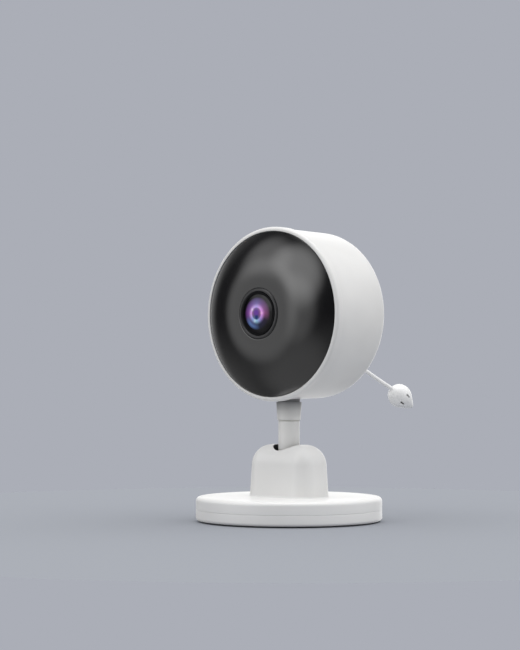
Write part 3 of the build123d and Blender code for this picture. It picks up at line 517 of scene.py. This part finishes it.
def glass_painted_reflexes():
    """The lens's coated front with its reflections painted into its colour: a ring of pink, violet and
    blue reflexes round a dark pupil, with painted highlights.
    """
    shader = Shader("glass_painted_reflexes", REFLEX_BLACK, 0.06)
    shader.set(IOR=1.33)
    split = shader.node("ShaderNodeSeparateXYZ", Vector=shader.coords).outputs
    height = shader.value("SUBTRACT", split["Z"], HEAD_Z * MM)
    x = shader.value("DIVIDE", split["X"], REFLEX_UNIT * MM)
    z = shader.value("DIVIDE", height, REFLEX_UNIT * MM)

    def spot(spot_x, spot_z, full, gone, strength):
        away = shader.length(
            shader.value("SUBTRACT", x, spot_x), shader.value("SUBTRACT", z, spot_z)
        )
        return shader.between(away, gone, full, 0.0, strength, smooth=True)

    # Painted reflections: colours by turn and radius, a bright ring, a blue arc and glints
    turn = shader.between(shader.value("ARCTAN2", z, x), -math.pi, math.pi, 0.0, 1.0)
    radius = shader.length(x, z)
    near, far = shader.ramp(turn, *REFLEXES_NEAR), shader.ramp(turn, *REFLEXES_FAR)
    color = shader.mixed(near, far, shader.between(radius, *NEAR_TO_FAR, 0.0, 1.0, smooth=True))
    profile = shader.ramp(shader.value("DIVIDE", radius, REFLEX_R), *REFLEX_PROFILE)
    color = shader.mixed(REFLEX_BLACK, color, profile)
    off_arc = shader.value("ABSOLUTE", shader.value("SUBTRACT", radius, ARC_R))
    arc = shader.between(off_arc, ARC_REACH, ARC_CORE, 0.0, ARC_STRENGTH)
    sweep = shader.ramp(turn, *ARC_SWEEP)
    color = shader.mixed(color, ARC_COLOR, shader.value("MULTIPLY", sweep, arc))
    for patch, where in REFLEX_SPOTS:
        color = shader.mixed(color, patch, spot(*where))
    shader.link(color, "Base Color")
    return shader.material


MATERIALS = build_materials()
MATERIALS["glass"] = glass_painted_reflexes()

# ---------------------------------------------------------------- camera

# The camera looks from the object's front right, almost level, at a point beside and over the origin
CAMERA_AZIMUTH = math.radians(41.69)
CAMERA_TILT = math.radians(-1.34)
CAMERA_DISTANCE = 850.0
CAMERA_RIGHT_SHIFT = -12.49
CAMERA_RISE = 84.39
CAMERA_LENS, CAMERA_SENSOR = 109.4, 36.0


def add_camera():
    sin_a, cos_a = math.sin(CAMERA_AZIMUTH), math.cos(CAMERA_AZIMUTH)
    sin_e, cos_e = math.sin(CAMERA_TILT), math.cos(CAMERA_TILT)
    right = Vector((cos_a, sin_a, 0))
    up = Vector((-sin_a * sin_e, cos_a * sin_e, cos_e))
    back = Vector((sin_a * cos_e, -cos_a * cos_e, sin_e))
    target = right * CAMERA_RIGHT_SHIFT + up * CAMERA_RISE
    data = bpy.data.cameras.new("camera")
    data.lens = CAMERA_LENS
    data.sensor_width = CAMERA_SENSOR
    data.clip_start, data.clip_end = 0.01, 50.0
    camera = bpy.data.objects.new("camera", data)
    bpy.context.scene.collection.objects.link(camera)
    camera.location = (target + back * CAMERA_DISTANCE) * MM
    camera.rotation_mode = "QUATERNION"
    camera.rotation_quaternion = (-back).to_track_quat("-Z", "Y")
    bpy.context.scene.camera = camera


add_camera()

# ---------------------------------------------------------------- temperature sensor: lead and bulb

LEAD_D = 1.8
# The route of the free lead, from the grommet to the bulb
LEAD_ROUTE = [
    (0.0, 30.8, 71.5),
    (0.0, 38.0, 71.5),
    (2.1, 47.0, 66.2),
    (4.3, 55.6, 61.0),
    (6.4, 63.5, 56.7),
]
LEAD_END = Vector(LEAD_ROUTE[-1])
BULB_TIP = Vector((9.6, 74.7, 48.2))
BULB_AXIS = BULB_TIP - LEAD_END
# The bulb's largest radius, how far along its axis that is, and the thickness of its wall there
BULB_R, BULB_WIDE_AT, BULB_WALL = 5.2, 5.8, 1.1
# The bulb's outline about the line from the lead's end to its tip: along, radius and slope
BULB_STOPS = [
    (0.0, 1.0, 0.8),
    (0.7, 2.2, 1.9),
    (2.6, 4.3, 0.6),
    (BULB_WIDE_AT, BULB_R, 0.0),
    (9.6, 3.95, -0.66),
    (BULB_AXIS.length - 0.44, 0.95, -0.85),
]
# The plane that parts the bulb's shells, and the vents about it, in degrees about the axis
PARTING_TURN = 17.5
PARTING_GAP = 0.012
VENT_TURNS = (-25, 25, 155, 205)
# How far along the axis the vents are, and their length, width and the cutter's inner reach
VENT_AT, VENT_L, VENT_W, VENT_REACH = 6.6, 2.4, 0.9, 2.0


def make_lead():
    curve = bpy.data.curves.new("probe_cable", "CURVE")
    curve.dimensions = "3D"
    curve.bevel_depth = LEAD_D / 2 * MM
    curve.bevel_resolution = 8
    curve.resolution_u = 24
    curve.use_fill_caps = True
    spline = curve.splines.new("NURBS")
    spline.points.add(len(LEAD_ROUTE) - 1)
    for point, place in zip(spline.points, LEAD_ROUTE):
        point.co = (*(Vector(place) * MM), 1.0)
    spline.order_u = 3
    spline.use_endpoint_u = True
    lead = bpy.data.objects.new("probe_cable", curve)
    bpy.context.scene.collection.objects.link(lead)
    return finish_piece(lead, "head", MATERIALS["jacket"], "probe_lead")


def bulb_outline(shrink):
    """The bulb's outline as (along, radius), scaled about its widest place to be shrink less there."""
    points = []
    steps = 12
    for (a, r, slope), (next_a, next_r, next_slope) in zip(BULB_STOPS, BULB_STOPS[1:]):
        run = next_a - a
        for t in [k / steps for k in range(steps)]:
            points.append(
                (
                    a + run * t,
                    r * (1 + 2 * t) * (1 - t) ** 2
                    + slope * run * t * (1 - t) ** 2
                    + next_r * t * t * (3 - 2 * t)
                    + next_slope * run * t * t * (t - 1),
                )
            )
    # A ball-shaped tip takes over where its slope is the last stop's
    end, end_r, slope = BULB_STOPS[-1]
    first = math.atan(-slope)
    ball_r = end_r / math.cos(first)
    middle = end - ball_r * math.sin(first)
    tip_steps = 8
    for k in range(tip_steps):
        turn = first + (math.pi / 2 - first) * k / tip_steps
        points.append((middle + ball_r * math.sin(turn), ball_r * math.cos(turn)))
    points.append((middle + ball_r, 0.0))
    scale = 1 - shrink / BULB_R
    return [(BULB_WIDE_AT + (a - BULB_WIDE_AT) * scale, r * scale) for a, r in points]


def vent_cutter(place, angle):
    """A bar with round ends through the bulb's wall, lying along its axis."""
    half, radius = (VENT_L - VENT_W) / 2, VENT_W / 2
    steps = 12
    outline = []
    for shift, first in ((half, -math.pi / 2), (-half, math.pi / 2)):
        for turn in [first + math.pi * k / steps for k in range(steps + 1)]:
            outline.append((VENT_AT + shift + radius * math.cos(turn), radius * math.sin(turn)))
    count = len(outline)
    middle = Vector(place(0.0, 0.0, 0.0))
    along = BULB_AXIS.normalized()
    outward = Vector(place(0.0, 1.0, angle)) - middle
    across = along.cross(outward)
    verts = [
        middle + along * a + across * w + outward * reach
        for reach in (VENT_REACH, BULB_R + 1.0)
        for a, w in outline
    ]
    faces = [tuple(range(count)), tuple(range(2 * count - 1, count - 1, -1))]
    faces += [(k, (k + 1) % count, count + (k + 1) % count, count + k) for k in range(count)]
    return new_object("vent_cutter", verts, faces)


def make_bulb():
    """The hollow bulb in two shells, which part on a plane through its axis."""
    place = about_line(LEAD_END, BULB_AXIS)
    split = place(0.0, 1.0, math.radians(PARTING_TURN)) - place(0.0, 0.0, 0.0)
    outline = bulb_outline(0.0) + bulb_outline(BULB_WALL)[::-1]
    skin = lathe("probe_skin", outline, place, steps=96)
    cut(skin, *[vent_cutter(place, math.radians(90 + PARTING_TURN + turn)) for turn in VENT_TURNS])
    made = []
    for name, way, node in (
        ("probe_cap_upper", 1.0, "probe_shell_upper"),
        ("probe_cap_lower", -1.0, "probe_shell_lower"),
    ):
        mesh = skin.data.copy()
        mesh.name = name
        shell = bpy.data.objects.new(name, mesh)
        bpy.context.scene.collection.objects.link(shell)
        bm = bmesh.new()
        bm.from_mesh(mesh)
        parted = bmesh.ops.bisect_plane(
            bm,
            geom=bm.verts[:] + bm.edges[:] + bm.faces[:],
            plane_co=(LEAD_END + split * PARTING_GAP * way) * MM,
            plane_no=split * way,
            clear_inner=True,
            dist=1e-9,
        )
        edges = [e for e in parted["geom_cut"] if isinstance(e, bmesh.types.BMEdge)]
        bmesh.ops.edgeloop_fill(bm, edges=edges)
        bmesh.ops.recalc_face_normals(bm, faces=bm.faces)
        bm.to_mesh(mesh)
        bm.free()
        smooth(shell, 35.0)
        made.append(finish_piece(shell, "head", MATERIALS["probe"], node))
    bpy.data.objects.remove(skin)
    return made


lead = make_lead()
bulb_caps = make_bulb()

# ---------------------------------------------------------------- base

BASE_WALL = 2.0
BASE_TOP_EDGE_R, BASE_FOOT_EDGE_R = 1.7, 1.2
SEAM_Z, SEAM_BEVEL, SEAM_GAP = 5.2, 0.12, 0.01
# A fine line runs round the top, just inside its edge
LINE_R, LINE_DEPTH = BASE_R - 2.3, 0.22
# The groove that holds the grip ring, and the ring's ribs
GROOVE_IN, GROOVE_OUT = 24.9, 33.1
RIBS, RIB_FIRST_R, RIB_PITCH, RIB_W, RIB_HEIGHT = 7, 25.5, 1.05, 0.7, 0.25


def make_base():
    top = rounded(
        [
            (BASE_TOP, 0.0, 0),
            (BASE_TOP, LINE_R, 0.1),
            (BASE_TOP - LINE_DEPTH, LINE_R + 0.12, 0.05),
            (BASE_TOP - LINE_DEPTH, LINE_R + 0.22, 0.05),
            (BASE_TOP - 0.04, LINE_R + 0.32, 0.1),
            (BASE_TOP - 0.12, BASE_R, BASE_TOP_EDGE_R),
            (SEAM_Z + SEAM_BEVEL, BASE_R, 0.05),
            (SEAM_Z + SEAM_GAP, BASE_R - SEAM_BEVEL, 0),
            (SEAM_Z + SEAM_GAP, BASE_R - BASE_WALL, 0),
            (BASE_TOP - BASE_WALL, BASE_R - BASE_WALL, 0.6),
            (BASE_TOP - BASE_WALL, 0.0, 0),
        ]
    )
    upper = lathe("base_top_cover", top, about_vertical, steps=240, sharp=50.0)
    finish_piece(upper, "stand", MATERIALS["white"], "base_upper_cover")

    underside, groove = lower_low.z, ring_high.z
    tongue_out, tongue_in, inner_floor = BASE_R - 2.1, BASE_R - 3.2, 2.8
    bottom = rounded(
        [
            (underside, 0.0, 0),
            (underside, GROOVE_IN, 0.15),
            (groove, GROOVE_IN, 0),
            (groove, GROOVE_OUT, 0),
            (underside, GROOVE_OUT, 0.15),
            (underside, BASE_R, BASE_FOOT_EDGE_R),
            (SEAM_Z - SEAM_BEVEL, BASE_R, 0.05),
            (SEAM_Z - SEAM_GAP, BASE_R - SEAM_BEVEL, 0),
            (SEAM_Z - SEAM_GAP, tongue_out, 0),
            (lower_high.z, tongue_out, 0.2),
            (lower_high.z, tongue_in, 0.2),
            (inner_floor, tongue_in, 0.5),
            (inner_floor, 0.0, 0),
        ]
    )
    lower = lathe("base_bottom_cover", bottom, about_vertical, steps=240, sharp=50.0)
    finish_piece(lower, "stand", MATERIALS["white"], "base_lower_cover")

    grip_in, grip_out = GROOVE_IN + 0.15, GROOVE_OUT - 0.15
    grip = [(groove, grip_in, 0), (0.3, grip_in, 0.15)]
    for k in range(RIBS):
        r = RIB_FIRST_R + k * RIB_PITCH
        grip += [(0.0, r, 0.1), (0.0, r + RIB_W, 0.1)]
        grip += [(RIB_HEIGHT, r + RIB_W + 0.1, 0.05), (RIB_HEIGHT, r + RIB_W + 0.25, 0.05)]
    grip += [(0.3, grip_out, 0.1), (groove, grip_out, 0)]
    foot = lathe("grip_ring", rounded(grip), about_vertical, steps=200)
    finish_piece(foot, "stand", MATERIALS["rubber"], "anti_slip_ring")


make_base()

# ---------------------------------------------------------------- joint housing

TOWER_HALF_X, TOWER_HALF_Y = 17.3, 10.7
TOWER_CORNER = 7.7
# How much the walls lean in for each millimetre up
TOWER_DRAFT = 1.4 / (tower_high.z - BASE_TOP)
# The flare where the walls meet the base, as (out, up), and the rings up the walls to the shoulder
TOWER_FLARE = [(0.75, 0.0), (0.42, 0.06), (0.2, 0.2), (0.06, 0.42), (0.0, 0.75)]
TOWER_RINGS = [2.5, 5.0, 7.5, 10.0, 12.0]
SHOULDER_Z, SHOULDER_R = 24.0, 9.0
MOUTH_LIP_R = 0.45
# The seat's bore and the wider spring bore under it
SEAT_BORE_R, SEAT_CEILING, SEAT_MIDDLE = 8.15, 28.5, 20.0
SPRING_BORE_R, SPRING_CEILING = 9.7, 16.4


def footprint(x, y, z):
    """How far inside the tower's outline a point is, at a height on its drafted walls."""
    inset = TOWER_DRAFT * (min(z, SHOULDER_Z) - BASE_TOP)
    corner = TOWER_CORNER - inset
    qx = abs(x) - (TOWER_HALF_X - TOWER_CORNER)
    qy = abs(y) - (TOWER_HALF_Y - TOWER_CORNER)
    outside = math.hypot(max(qx, 0.0), max(qy, 0.0))
    return corner - (outside + min(max(qx, qy), 0.0))


def ray_to_depth(angle, depth, z):
    """The distance from the axis at which a ray is that deep inside the outline."""
    low, high = 0.0, 30.0
    for _ in range(40):
        middle = (low + high) / 2
        if footprint(middle * math.cos(angle), middle * math.sin(angle), z) > depth:
            low = middle
        else:
            high = middle
    return low


def shoulder_height(rho, angle):
    """The height of the rounded top over a point that far from the axis."""
    depth = footprint(rho * math.cos(angle), rho * math.sin(angle), SHOULDER_Z)
    run = SHOULDER_R - min(depth, SHOULDER_R)
    return SHOULDER_Z + math.sqrt(max(0.0, SHOULDER_R**2 - run**2))


def tower_column(angle):
    """The tower's skin at one angle as (distance from the axis, height): up the wall, down the bore."""
    rim = MOUTH_R + MOUTH_LIP_R
    column = [(ray_to_depth(angle, -out, BASE_TOP), BASE_TOP + up) for out, up in TOWER_FLARE]
    for up in [*TOWER_RINGS, SHOULDER_Z - BASE_TOP]:
        column.append((ray_to_depth(angle, 0.0, BASE_TOP + up), BASE_TOP + up))
    shoulder_steps = 28
    for k in range(1, shoulder_steps + 1):
        depth = SHOULDER_R * (1 - math.cos(math.pi / 2 * k / shoulder_steps))
        rho = max(ray_to_depth(angle, depth, SHOULDER_Z), rim)
        column.append((rho, shoulder_height(rho, angle)))
    # Points that ran past the mouth are spread over the top, at the surface's height there
    last = len(column) - 1
    first = next((i for i, (rho, z) in enumerate(column) if rho <= rim + TINY), last)
    start = column[first - 1][0]
    for i in range(first, len(column)):
        t = (i - first + 1) / (len(column) - first + 1)
        rho = start + (rim - start) * t
        column[i] = (rho, shoulder_height(rho, angle))
    top = column[-1][1]
    lip_steps = 6
    for turn in [math.pi / 2 * k / lip_steps for k in range(1, lip_steps + 1)]:
        column.append((rim - MOUTH_LIP_R * math.sin(turn), top - MOUTH_LIP_R * (1 - math.cos(turn))))
    return column + [
        (MOUTH_R, (top + SEAT_CEILING) / 2),
        (MOUTH_R, SEAT_CEILING),
        (SEAT_BORE_R, SEAT_CEILING),
        (SEAT_BORE_R, SEAT_MIDDLE),
        (SEAT_BORE_R, SPRING_CEILING),
        (SPRING_BORE_R, SPRING_CEILING),
        (SPRING_BORE_R, BASE_TOP),
    ]


def make_tower():
    steps = 200
    columns = []
    for angle in [2 * math.pi * k / steps for k in range(steps)]:
        c, s = math.cos(angle), math.sin(angle)
        columns.append([(rho * c, rho * s, z) for rho, z in tower_column(angle)])
    rows = len(columns[0])
    verts = [p for column in columns for p in column]
    faces = []
    for k in range(steps):
        m = (k + 1) % steps
        for i in range(rows):
            j = (i + 1) % rows
            faces.append((k * rows + i, m * rows + i, m * rows + j, k * rows + j))
    tower = new_object("joint_tower", verts, faces, sharp=50.0)
    finish_piece(tower, "stand", MATERIALS["tower"], "joint_housing")


make_tower()

# ---------------------------------------------------------------- neck and collar

# The stem starts this far over the CAD neck's lowest point, out of sight in the ball
STEM_START = 2.5
STEM_R, SPIGOT_R, STEM_BORE_R = 4.6, 3.6, 1.4
COLLAR_BORE_R, COLLAR_LOW_R, COLLAR_FLARE_R, COLLAR_BOSS_R = 3.65, 5.0, 5.5, 4.8


def make_neck():
    foot, shoulder = neck_low.z + STEM_START, washer_low.z
    outline = rounded(
        [
            (foot, STEM_BORE_R, 0),
            (foot, STEM_R, 0.1),
            (shoulder, STEM_R, 0.25),
            (shoulder, SPIGOT_R, 0.1),
            (neck_high.z, SPIGOT_R, 0.3),
            (neck_high.z, STEM_BORE_R, 0),
        ]
    )
    stem = lathe("neck_stem", outline, about_vertical, steps=128)
    finish_piece(stem, "neck", MATERIALS["neck"], "neck")

    outline = rounded(
        [
            (collar_low.z, COLLAR_BORE_R, 0.15),
            (collar_low.z, COLLAR_LOW_R, 0.25),
            (COLLAR_FLARE_Z, COLLAR_FLARE_R, 0.1),
            (COLLAR_FLARE_Z, COLLAR_BOSS_R, 0),
            (collar_high.z, COLLAR_BOSS_R, 0.3),
            (collar_high.z, COLLAR_BORE_R, 0.1),
        ]
    )
    collar = lathe("head_collar", outline, about_vertical, steps=128)
    finish_piece(collar, "head", MATERIALS["collar"], "neck_collar")


make_neck()

# ---------------------------------------------------------------- head

# The drum's rounded back, how much it narrows towards it, and half the seam to the bezel
DRUM_EDGE_R, DRUM_TAPER, DRUM_SEAM_GAP = 7.0, 1.4, 0.05
# The back wall's thickness, the opening in it and the inside of the drum
BACK_WALL, BACK_OPENING_R, DRUM_INNER_R, DRUM_INNER_EDGE_R = 4.0, 25.0, 33.6, 4.0
COVER_T, COVER_GAP = 2.0, 0.15
# The collar's hole through the drum's wall: its radius, and the cutter's lowest and highest points
COLLAR_HOLE_R, HOLE_LOW, HOLE_HIGH = COLLAR_BOSS_R + 0.05, 50.0, 58.0
BEZEL_EDGE_R, BEZEL_HOLE_R = 1.3, 35.5
# The bezel's tongue reaches into the drum, with a notch over the neck: its half width, its lowest
# point and how far under the lens's axis it ends
TONGUE_OUT, TONGUE_IN, TONGUE_END_Y = 34.6, 33.4, -3.5
NOTCH_HALF_X, NOTCH_LOW, NOTCH_TOP = 12.0, 40.0, 24.0


def make_head():
    seam, rear = shell_low.y, shell_high.y
    recess = cover_high.x + COVER_GAP
    seat = cover_high.y - COVER_T
    outline = rounded(
        [
            (seam + DRUM_SEAM_GAP, HEAD_R - 2.3, 0),
            (seam + DRUM_SEAM_GAP, HEAD_R, 0.25),
            (rear, HEAD_R - DRUM_TAPER, DRUM_EDGE_R),
            (rear, recess, 0.25),
            (seat, recess, 0),
            (seat, BACK_OPENING_R, 0),
            (rear - BACK_WALL, BACK_OPENING_R, 0.3),
            (rear - BACK_WALL, DRUM_INNER_R, DRUM_INNER_EDGE_R),
        ],
        per_turn=120,
    )
    drum = lathe("drum_shell", outline, about_lens_axis(), steps=256, sharp=35.0)
    outline = [(HOLE_LOW, 0.0), (HOLE_LOW, COLLAR_HOLE_R)]
    outline += [(HOLE_HIGH, COLLAR_HOLE_R), (HOLE_HIGH, 0.0)]
    cut(drum, lathe("collar_hole", outline, about_vertical, steps=64))
    finish_piece(drum, "head", MATERIALS["white"], "head_shell")

    front = bezel_low.y
    outline = rounded(
        [
            (front, BEZEL_HOLE_R, 0.2),
            (front, HEAD_R, BEZEL_EDGE_R),
            (seam - DRUM_SEAM_GAP, HEAD_R, 0.25),
            (seam - DRUM_SEAM_GAP, TONGUE_OUT, 0),
            (TONGUE_END_Y, TONGUE_OUT, 0.2),
            (TONGUE_END_Y, TONGUE_IN, 0.2),
            (face_high.y, TONGUE_IN, 0),
            (face_high.y, BEZEL_HOLE_R, 0),
        ],
        per_turn=120,
    )
    bezel = lathe("bezel", outline, about_lens_axis(), steps=256, sharp=35.0)
    box_verts = [
        (x, y, z)
        for x in (-NOTCH_HALF_X, NOTCH_HALF_X)
        for y in (seam, TONGUE_END_Y + 0.5)
        for z in (NOTCH_LOW, HEAD_Z - NOTCH_TOP)
    ]
    box_faces = [(0, 1, 3, 2), (4, 6, 7, 5), (0, 4, 5, 1), (2, 3, 7, 6), (0, 2, 6, 4), (1, 5, 7, 3)]
    cut(bezel, new_object("tongue_notch", box_verts, box_faces))
    finish_piece(bezel, "head", MATERIALS["white"], "bezel_ring")


# The flat middle, the hole for the lens and the wall
FACE_FLAT_R, FACE_HOLE_R, FACE_T = 12.0, 10.9, 2.0


def make_face():
    """The dome: flat round the lens, then one arc out to the bezel."""
    front, rim, rim_r = face_low.y, face_high.y - FACE_T, face_high.x
    bend = 2 * math.atan((rim - front) / (rim_r - FACE_FLAT_R))
    bend_r = (rim_r - FACE_FLAT_R) / math.sin(bend)
    outer = [(front + 0.25, FACE_HOLE_R), (front + 0.07, FACE_HOLE_R + 0.07)]
    outer += [(front, FACE_HOLE_R + 0.25), (front, FACE_HOLE_R + 0.6), (front, FACE_FLAT_R)]
    steps = 64
    for turn in [bend * k / steps for k in range(1, steps)]:
        outer.append((front + bend_r * (1 - math.cos(turn)), FACE_FLAT_R + bend_r * math.sin(turn)))
    outer += [(rim - 0.1, rim_r - 0.12), (rim + 0.05, rim_r), (rim + FACE_T, rim_r)]
    inner = [(y + FACE_T, r) for y, r in outer[3:-3]][::-1]
    outline = outer + inner + [(front + FACE_T, FACE_HOLE_R)]
    face = lathe("face_dome", outline, about_lens_axis(), steps=256, sharp=35.0)
    finish_piece(face, "head", MATERIALS["face"], "face_panel")


LENS_RING_IN, LENS_RING_OUT = 9.25, 10.85
HOOD_R, HOOD_FLANGE_R, HOOD_BORE_R = 9.1, 10.5, 7.0
FLANGE_T = 1.0
GLASS_SAG = 1.2  # how far the front glass's middle stands out before its edge


def make_lens():
    front, back, flange = lens_ring_low.y, lens_ring_high.y, lens_ring_high.x
    outline = rounded(
        [
            (front + 0.55, LENS_RING_IN, 0.1),
            (front, LENS_RING_IN + 0.4, 0.2),
            (front, LENS_RING_OUT - 0.45, 0.35),
            (front + 0.45, LENS_RING_OUT, 0.3),
            (back - FLANGE_T, LENS_RING_OUT, 0),
            (back - FLANGE_T, flange, 0.1),
            (back, flange, 0.1),
            (back, LENS_RING_IN, 0),
        ],
        per_turn=60,
    )
    ring = lathe("lens_outer_ring", outline, about_lens_axis(), steps=160, sharp=50.0)
    finish_piece(ring, "head", MATERIALS["dark"], "lens_bezel")

    front, back = hood_low.y, hood_high.y
    seat, radius = glass_high.y, glass_high.x
    outline = rounded(
        [
            (front, HOOD_R, 0.15),
            (back - FLANGE_T, HOOD_R, 0),
            (back - FLANGE_T, HOOD_FLANGE_R, 0.1),
            (back, HOOD_FLANGE_R, 0.1),
            (back, HOOD_BORE_R, 0),
            (seat, HOOD_BORE_R, 0),
            (seat, radius + 0.05, 0),
            (front, radius + 0.05, 0.1),
        ],
        per_turn=60,
    )
    hood = lathe("lens_hood_ring", outline, about_lens_axis(), steps=160, sharp=30.0)
    finish_piece(hood, "head", MATERIALS["black"], "lens_hood")

    apex, bevel, steps = glass_low.y, 0.15, 32
    curve = (radius**2 + GLASS_SAG**2) / (2 * GLASS_SAG)
    outline = []
    for r in [(radius - bevel) * k / steps for k in range(steps + 1)]:
        outline.append((apex + curve - math.sqrt(curve**2 - r**2), r))
    outline += [(outline[-1][0] + bevel, radius), (seat, radius), (seat, 0.0)]
    glass = lathe("lens_front_glass", outline, about_lens_axis(), steps=128, sharp=35.0)
    finish_piece(glass, "head", MATERIALS["glass"], "front_lens_element")


make_head()
make_face()
make_lens()

# ---------------------------------------------------------------- grommet and button

GROMMET_BORE_R = LEAD_D / 2 + 0.05
GROMMET_FLANGE_R, GROMMET_NECK_R = 3.3, 2.15
# The grommet's ribs grow smaller away from the cover
GROMMET_RIBS, GROMMET_RIB_PITCH, GROMMET_RIB_R, GROMMET_RIB_STEP = 4, 1.05, 2.35, 0.28


def make_grommet():
    inside, rear, end = grommet_low.y, cover_high.y, grommet_high.y
    outline = [
        (inside, GROMMET_BORE_R, 0),
        (inside, GROMMET_FLANGE_R, 0.15),
        (rear - COVER_T, GROMMET_FLANGE_R, 0.1),
        (rear - COVER_T, GROMMET_NECK_R, 0),
        (rear, GROMMET_NECK_R, 0),
        (rear, 2.7, 0.2),
        (rear + 1.1, 2.55, 0.2),
    ]
    for k in range(GROMMET_RIBS):
        y = rear + 1.4 + k * GROMMET_RIB_PITCH
        r = GROMMET_RIB_R - GROMMET_RIB_STEP * k
        outline += [(y, r - 0.45, 0.1), (y + 0.3, r - 0.45, 0.1)]
        outline += [(y + 0.35, r, 0.12), (y + 0.85, r - 0.1, 0.12)]
    outline += [(end, 1.3, 0.15), (end, GROMMET_BORE_R, 0.05)]
    grommet = lathe(
        "strain_relief", rounded(outline, per_turn=24), about_lens_axis(LEAD_Z), steps=64, sharp=35.0
    )
    finish_piece(grommet, "head", MATERIALS["jacket"], "lead_grommet")


BUTTON_R, BUTTON_FLANGE_R, BUTTON_FLANGE_T = 2.45, 3.3, 1.1


def make_button():
    low, high = button_low.y, button_high.y
    x = (button_low.x + button_high.x) / 2
    z = (button_low.z + button_high.z) / 2
    outline = rounded(
        [
            (low, 0.0, 0),
            (low, BUTTON_FLANGE_R, 0.1),
            (low + BUTTON_FLANGE_T, BUTTON_FLANGE_R, 0.1),
            (low + BUTTON_FLANGE_T, BUTTON_R, 0),
            (high, BUTTON_R, 0.35),
            (high, 1.7, 0.15),
            (high - 0.18, 1.4, 0.3),
            (high - 0.22, 0.0, 0),
        ],
        per_turn=48,
    )
    cap = lathe("pair_key", outline, about_lens_axis(z, x), steps=64)
    finish_piece(cap, "pair_button", MATERIALS["white"], "pair_button")


make_grommet()
make_button()

# ---------------------------------------------------------------- finishes of the CAD pieces that stay

SLOT_MATERIALS = {
    "white_shell": "white",
    "white_cap": "white",
    "face_black": "face",
    "dark_plastic": "dark",
    "lens_glass": "glass",
    "steel": "steel",
    "foot_rubber": "rubber",
    "bearing_plastic": "nylon",
    "circuit_board": "board",
    "chip_black": "chip",
    "led_clear": "led",
    "cable_orange": "film",
    "wire_red": "wire",
    "foam": "foam",
    "lead_white": "jacket",
}

for part in frame["record"]["subparts"]:
    node = frame["nodes"][part["node"]]
    material = MATERIALS[SLOT_MATERIALS[part["material_slot"]]]
    dress(node, material)

# ---------------------------------------------------------------- floor and light

# The backdrop's colour, and the floor's, which looks the same once it is lit
BACKGROUND = (0.407, 0.423, 0.473)
FLOOR_COLOR = (0.2828, 0.2968, 0.3271)
FLOOR_RADIUS = 250.0
# Softboxes: azimuth from the front, positive towards +X, elevation, full within, gone at, strength
FILL = 0.36
DIFFUSE_BOXES = [
    (0.0, 90.0, 30.0, 70.0, 1.35),
    (-45.0, 30.0, 25.0, 55.0, 0.45),
    (130.0, 30.0, 25.0, 55.0, 0.68),
]
GLOSS_FILL = 0.03
GLOSS_BOXES = [
    (0.0, 90.0, 10.0, 30.0, 4.0),
    (0.0, -90.0, 64.0, 94.0, 0.17),
    (-12.0, -42.0, 10.0, 42.0, 0.32),
    (-38.0, 6.0, 12.0, 31.0, 0.72),
    (-8.0, 6.0, 8.0, 26.0, 0.6),
    (-8.0, 32.0, 10.0, 31.0, 1.8),
    (-45.0, 33.0, 4.0, 25.0, 0.9),
    (-112.0, 30.0, 8.0, 32.0, 0.12),
    (-132.0, 0.0, 20.0, 45.0, 0.25),
    (-152.0, 6.0, 14.0, 34.0, 0.9),
]


def add_floor():
    outline = [(0.0, 0.0), (0.0, FLOOR_RADIUS)]
    floor = lathe("floor", outline, about_vertical, steps=96, closed=False)
    shader = Shader("floor_paper", FLOOR_COLOR, 0.8)
    grain = shader.noise(900.0, 2.0)
    low, high = tinted(FLOOR_COLOR, 0.99), tinted(FLOOR_COLOR, 1.01)
    shader.link(shader.ramp(grain, (0.3, low), (0.7, high)), "Base Color")
    shader.set(Specular_IOR_Level=0.0)
    floor.data.materials.append(shader.material)
    # The dark face is to mirror a plain neutral surround, so mirrored rays pass the floor by
    floor.visible_glossy = False


def add_world():
    """A plain backdrop, a soft dome for the matt surfaces, and softboxes for the shiny ones."""
    world = bpy.data.worlds.new("studio")
    bpy.context.scene.world = world
    world.use_nodes = True
    world.node_tree.nodes.clear()
    sky = Nodes(world.node_tree)
    ray = sky.node("ShaderNodeLightPath").outputs
    direction = sky.node("ShaderNodeTexCoord").outputs["Generated"]

    def softbox(azimuth, elevation, full, gone, strength):
        """Light from a round patch of the sky: strength within full degrees, none past gone."""
        a, e = math.radians(azimuth), math.radians(elevation)
        dot = sky.tree.nodes.new("ShaderNodeVectorMath")
        dot.operation = "DOT_PRODUCT"
        sky.put(direction, dot.inputs[0])
        level = math.cos(e)
        dot.inputs[1].default_value = (math.sin(a) * level, -math.cos(a) * level, math.sin(e))
        ends = math.cos(math.radians(gone)), math.cos(math.radians(full))
        return sky.between(dot.outputs["Value"], *ends, 0.0, strength, smooth=True)

    def total(boxes, base):
        """The sum of the softboxes and an even fill."""
        for box in boxes:
            base = sky.value("ADD", softbox(*box), base)
        return base

    white = (1.0, 1.0, 1.0, 1.0)
    lit = sky.node("ShaderNodeBackground", Color=white, Strength=total(DIFFUSE_BOXES, FILL))
    mirrored = sky.node("ShaderNodeBackground", Color=white, Strength=total(GLOSS_BOXES, GLOSS_FILL))
    seen = sky.node("ShaderNodeBackground", Color=(*BACKGROUND, 1.0), Strength=1.0)
    light = sky.node("ShaderNodeMixShader", Fac=ray["Is Glossy Ray"])
    shown = sky.node("ShaderNodeMixShader", Fac=ray["Is Camera Ray"])
    for mix, first, second in ((light, lit, mirrored), (shown, light, seen)):
        sky.put(first.outputs[0], mix.inputs[1])
        sky.put(second.outputs[0], mix.inputs[2])
    output = sky.tree.nodes.new("ShaderNodeOutputWorld")
    sky.put(shown.outputs[0], output.inputs["Surface"])


add_floor()
add_world()
bpy.context.scene.view_settings.view_transform = "Standard"
